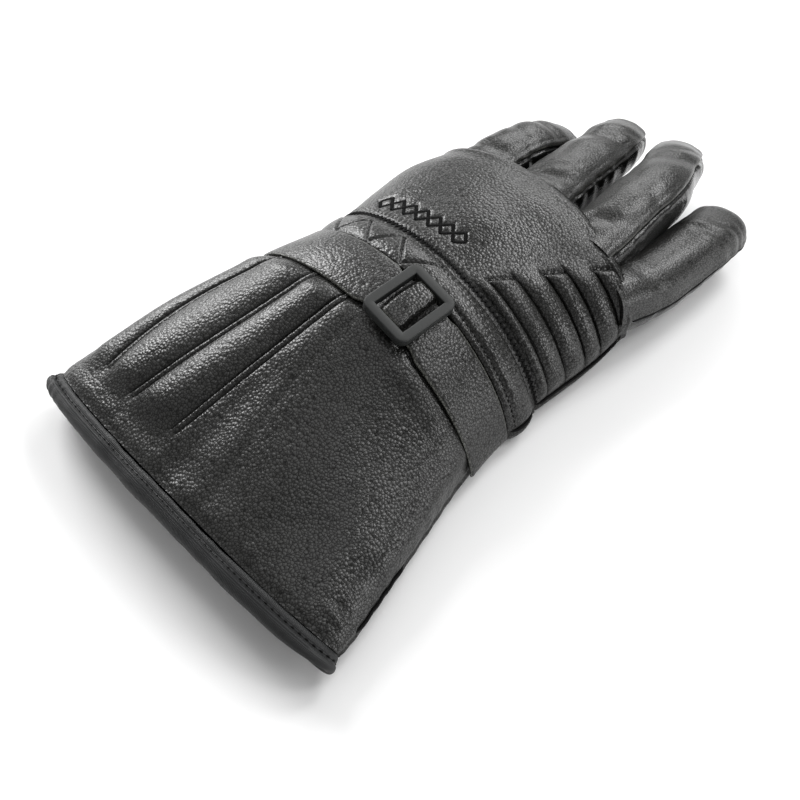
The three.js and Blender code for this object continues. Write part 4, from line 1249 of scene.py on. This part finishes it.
class GloveColours(bpy.types.PropertyGroup):
    """Colours as sRGB hex values."""
    leather_dark: StringProperty(
        name="Leather, dark", description="Darker tone of the leather", default="#0f0f0e")
    leather_light: StringProperty(
        name="Leather, light", description="Lighter tone of the leather", default="#1f1f1d")
    finger_dark: StringProperty(
        name="Fingers, dark", description="Darker tone of the fingers", default="#161615")
    finger_light: StringProperty(
        name="Fingers, light", description="Lighter tone of the fingers", default="#272725")
    palm_dark: StringProperty(
        name="Palm, dark", description="Darker tone of the palm", default="#131312")
    palm_light: StringProperty(
        name="Palm, light", description="Lighter tone of the palm", default="#20201e")
    binding: StringProperty(
        name="Binding", description="Cloth of the hem", default="#0e1011")
    plastic: StringProperty(
        name="Buckle", description="Plastic of the buckle", default="#181a19")
    floor: StringProperty(
        name="Floor", description="Board that the glove lies on", default="#f0f0f0")


class GLOVE_OT_gauntlet(bpy.types.Operator):
    """Builds the flared cuff with its pintucks."""
    bl_idname = "glove.gauntlet"
    bl_label = "Gauntlet"

    def execute(self, context):
        build_gauntlet()
        return {"FINISHED"}


class GLOVE_OT_binding(bpy.types.Operator):
    """Builds the cloth roll round the mouth."""
    bl_idname = "glove.binding"
    bl_label = "Hem binding"

    def execute(self, context):
        build_binding()
        return {"FINISHED"}


class GLOVE_OT_wrist(bpy.types.Operator):
    """Builds the padded, quilted wrist band."""
    bl_idname = "glove.wrist"
    bl_label = "Wrist band"

    def execute(self, context):
        build_wrist()
        return {"FINISHED"}


class GLOVE_OT_hand(bpy.types.Operator):
    """Builds the hand with its sewn ribs."""
    bl_idname = "glove.hand"
    bl_label = "Hand"

    def execute(self, context):
        build_hand()
        return {"FINISHED"}


class GLOVE_OT_fingers(bpy.types.Operator):
    """Builds the four fingers and the thumb."""
    bl_idname = "glove.fingers"
    bl_label = "Fingers and thumb"

    def execute(self, context):
        build_fingers()
        return {"FINISHED"}


class GLOVE_OT_strap(bpy.types.Operator):
    """Builds the leather strap."""
    bl_idname = "glove.strap"
    bl_label = "Strap"

    def execute(self, context):
        build_strap()
        return {"FINISHED"}


class GLOVE_OT_buckle(bpy.types.Operator):
    """Builds the slide buckle."""
    bl_idname = "glove.buckle"
    bl_label = "Buckle"

    def execute(self, context):
        build_buckle()
        return {"FINISHED"}


class GLOVE_OT_stitching(bpy.types.Operator):
    """Builds the rows of thread."""
    bl_idname = "glove.stitching"
    bl_label = "Stitching"

    def execute(self, context):
        build_stitching()
        return {"FINISHED"}


class GLOVE_OT_piping(bpy.types.Operator):
    """Builds the sewn edge of the little-finger side."""
    bl_idname = "glove.piping"
    bl_label = "Edge piping"

    def execute(self, context):
        build_piping()
        return {"FINISHED"}


class GLOVE_OT_stage(bpy.types.Operator):
    """Builds the floor, the lights and the camera."""
    bl_idname = "glove.stage"
    bl_label = "Stage"

    def execute(self, context):
        build_stage()
        return {"FINISHED"}


OPERATORS = [GLOVE_OT_gauntlet, GLOVE_OT_binding, GLOVE_OT_wrist, GLOVE_OT_hand, GLOVE_OT_fingers,
             GLOVE_OT_strap, GLOVE_OT_buckle, GLOVE_OT_stitching, GLOVE_OT_piping, GLOVE_OT_stage]


class GLOVE_PT_pieces(bpy.types.Panel):
    """Lists the glove's sizes, colours and pieces."""
    bl_idname = "GLOVE_PT_pieces"
    bl_label = "Motorcycle glove"
    bl_space_type = "VIEW_3D"
    bl_region_type = "UI"
    bl_category = "Glove"

    def draw(self, context):
        for group in (context.scene.glove_sizes, context.scene.glove_colours):
            for key in group.__annotations__:
                self.layout.prop(group, key)
        for operator in OPERATORS:
            self.layout.operator(operator.bl_idname)


CLASSES = [GloveSizes, GloveColours, *OPERATORS, GLOVE_PT_pieces]


def register():
    for kind in CLASSES:
        bpy.utils.register_class(kind)
    bpy.types.Scene.glove_sizes = PointerProperty(type=GloveSizes)
    bpy.types.Scene.glove_colours = PointerProperty(type=GloveColours)


def unregister():
    del bpy.types.Scene.glove_colours
    del bpy.types.Scene.glove_sizes
    for kind in reversed(CLASSES):
        bpy.utils.unregister_class(kind)


def main():
    register()
    find_shift()
    for operator in OPERATORS:
        getattr(bpy.ops.glove, operator.bl_idname.split(".")[1])()


if __name__ == "__main__":
    main()
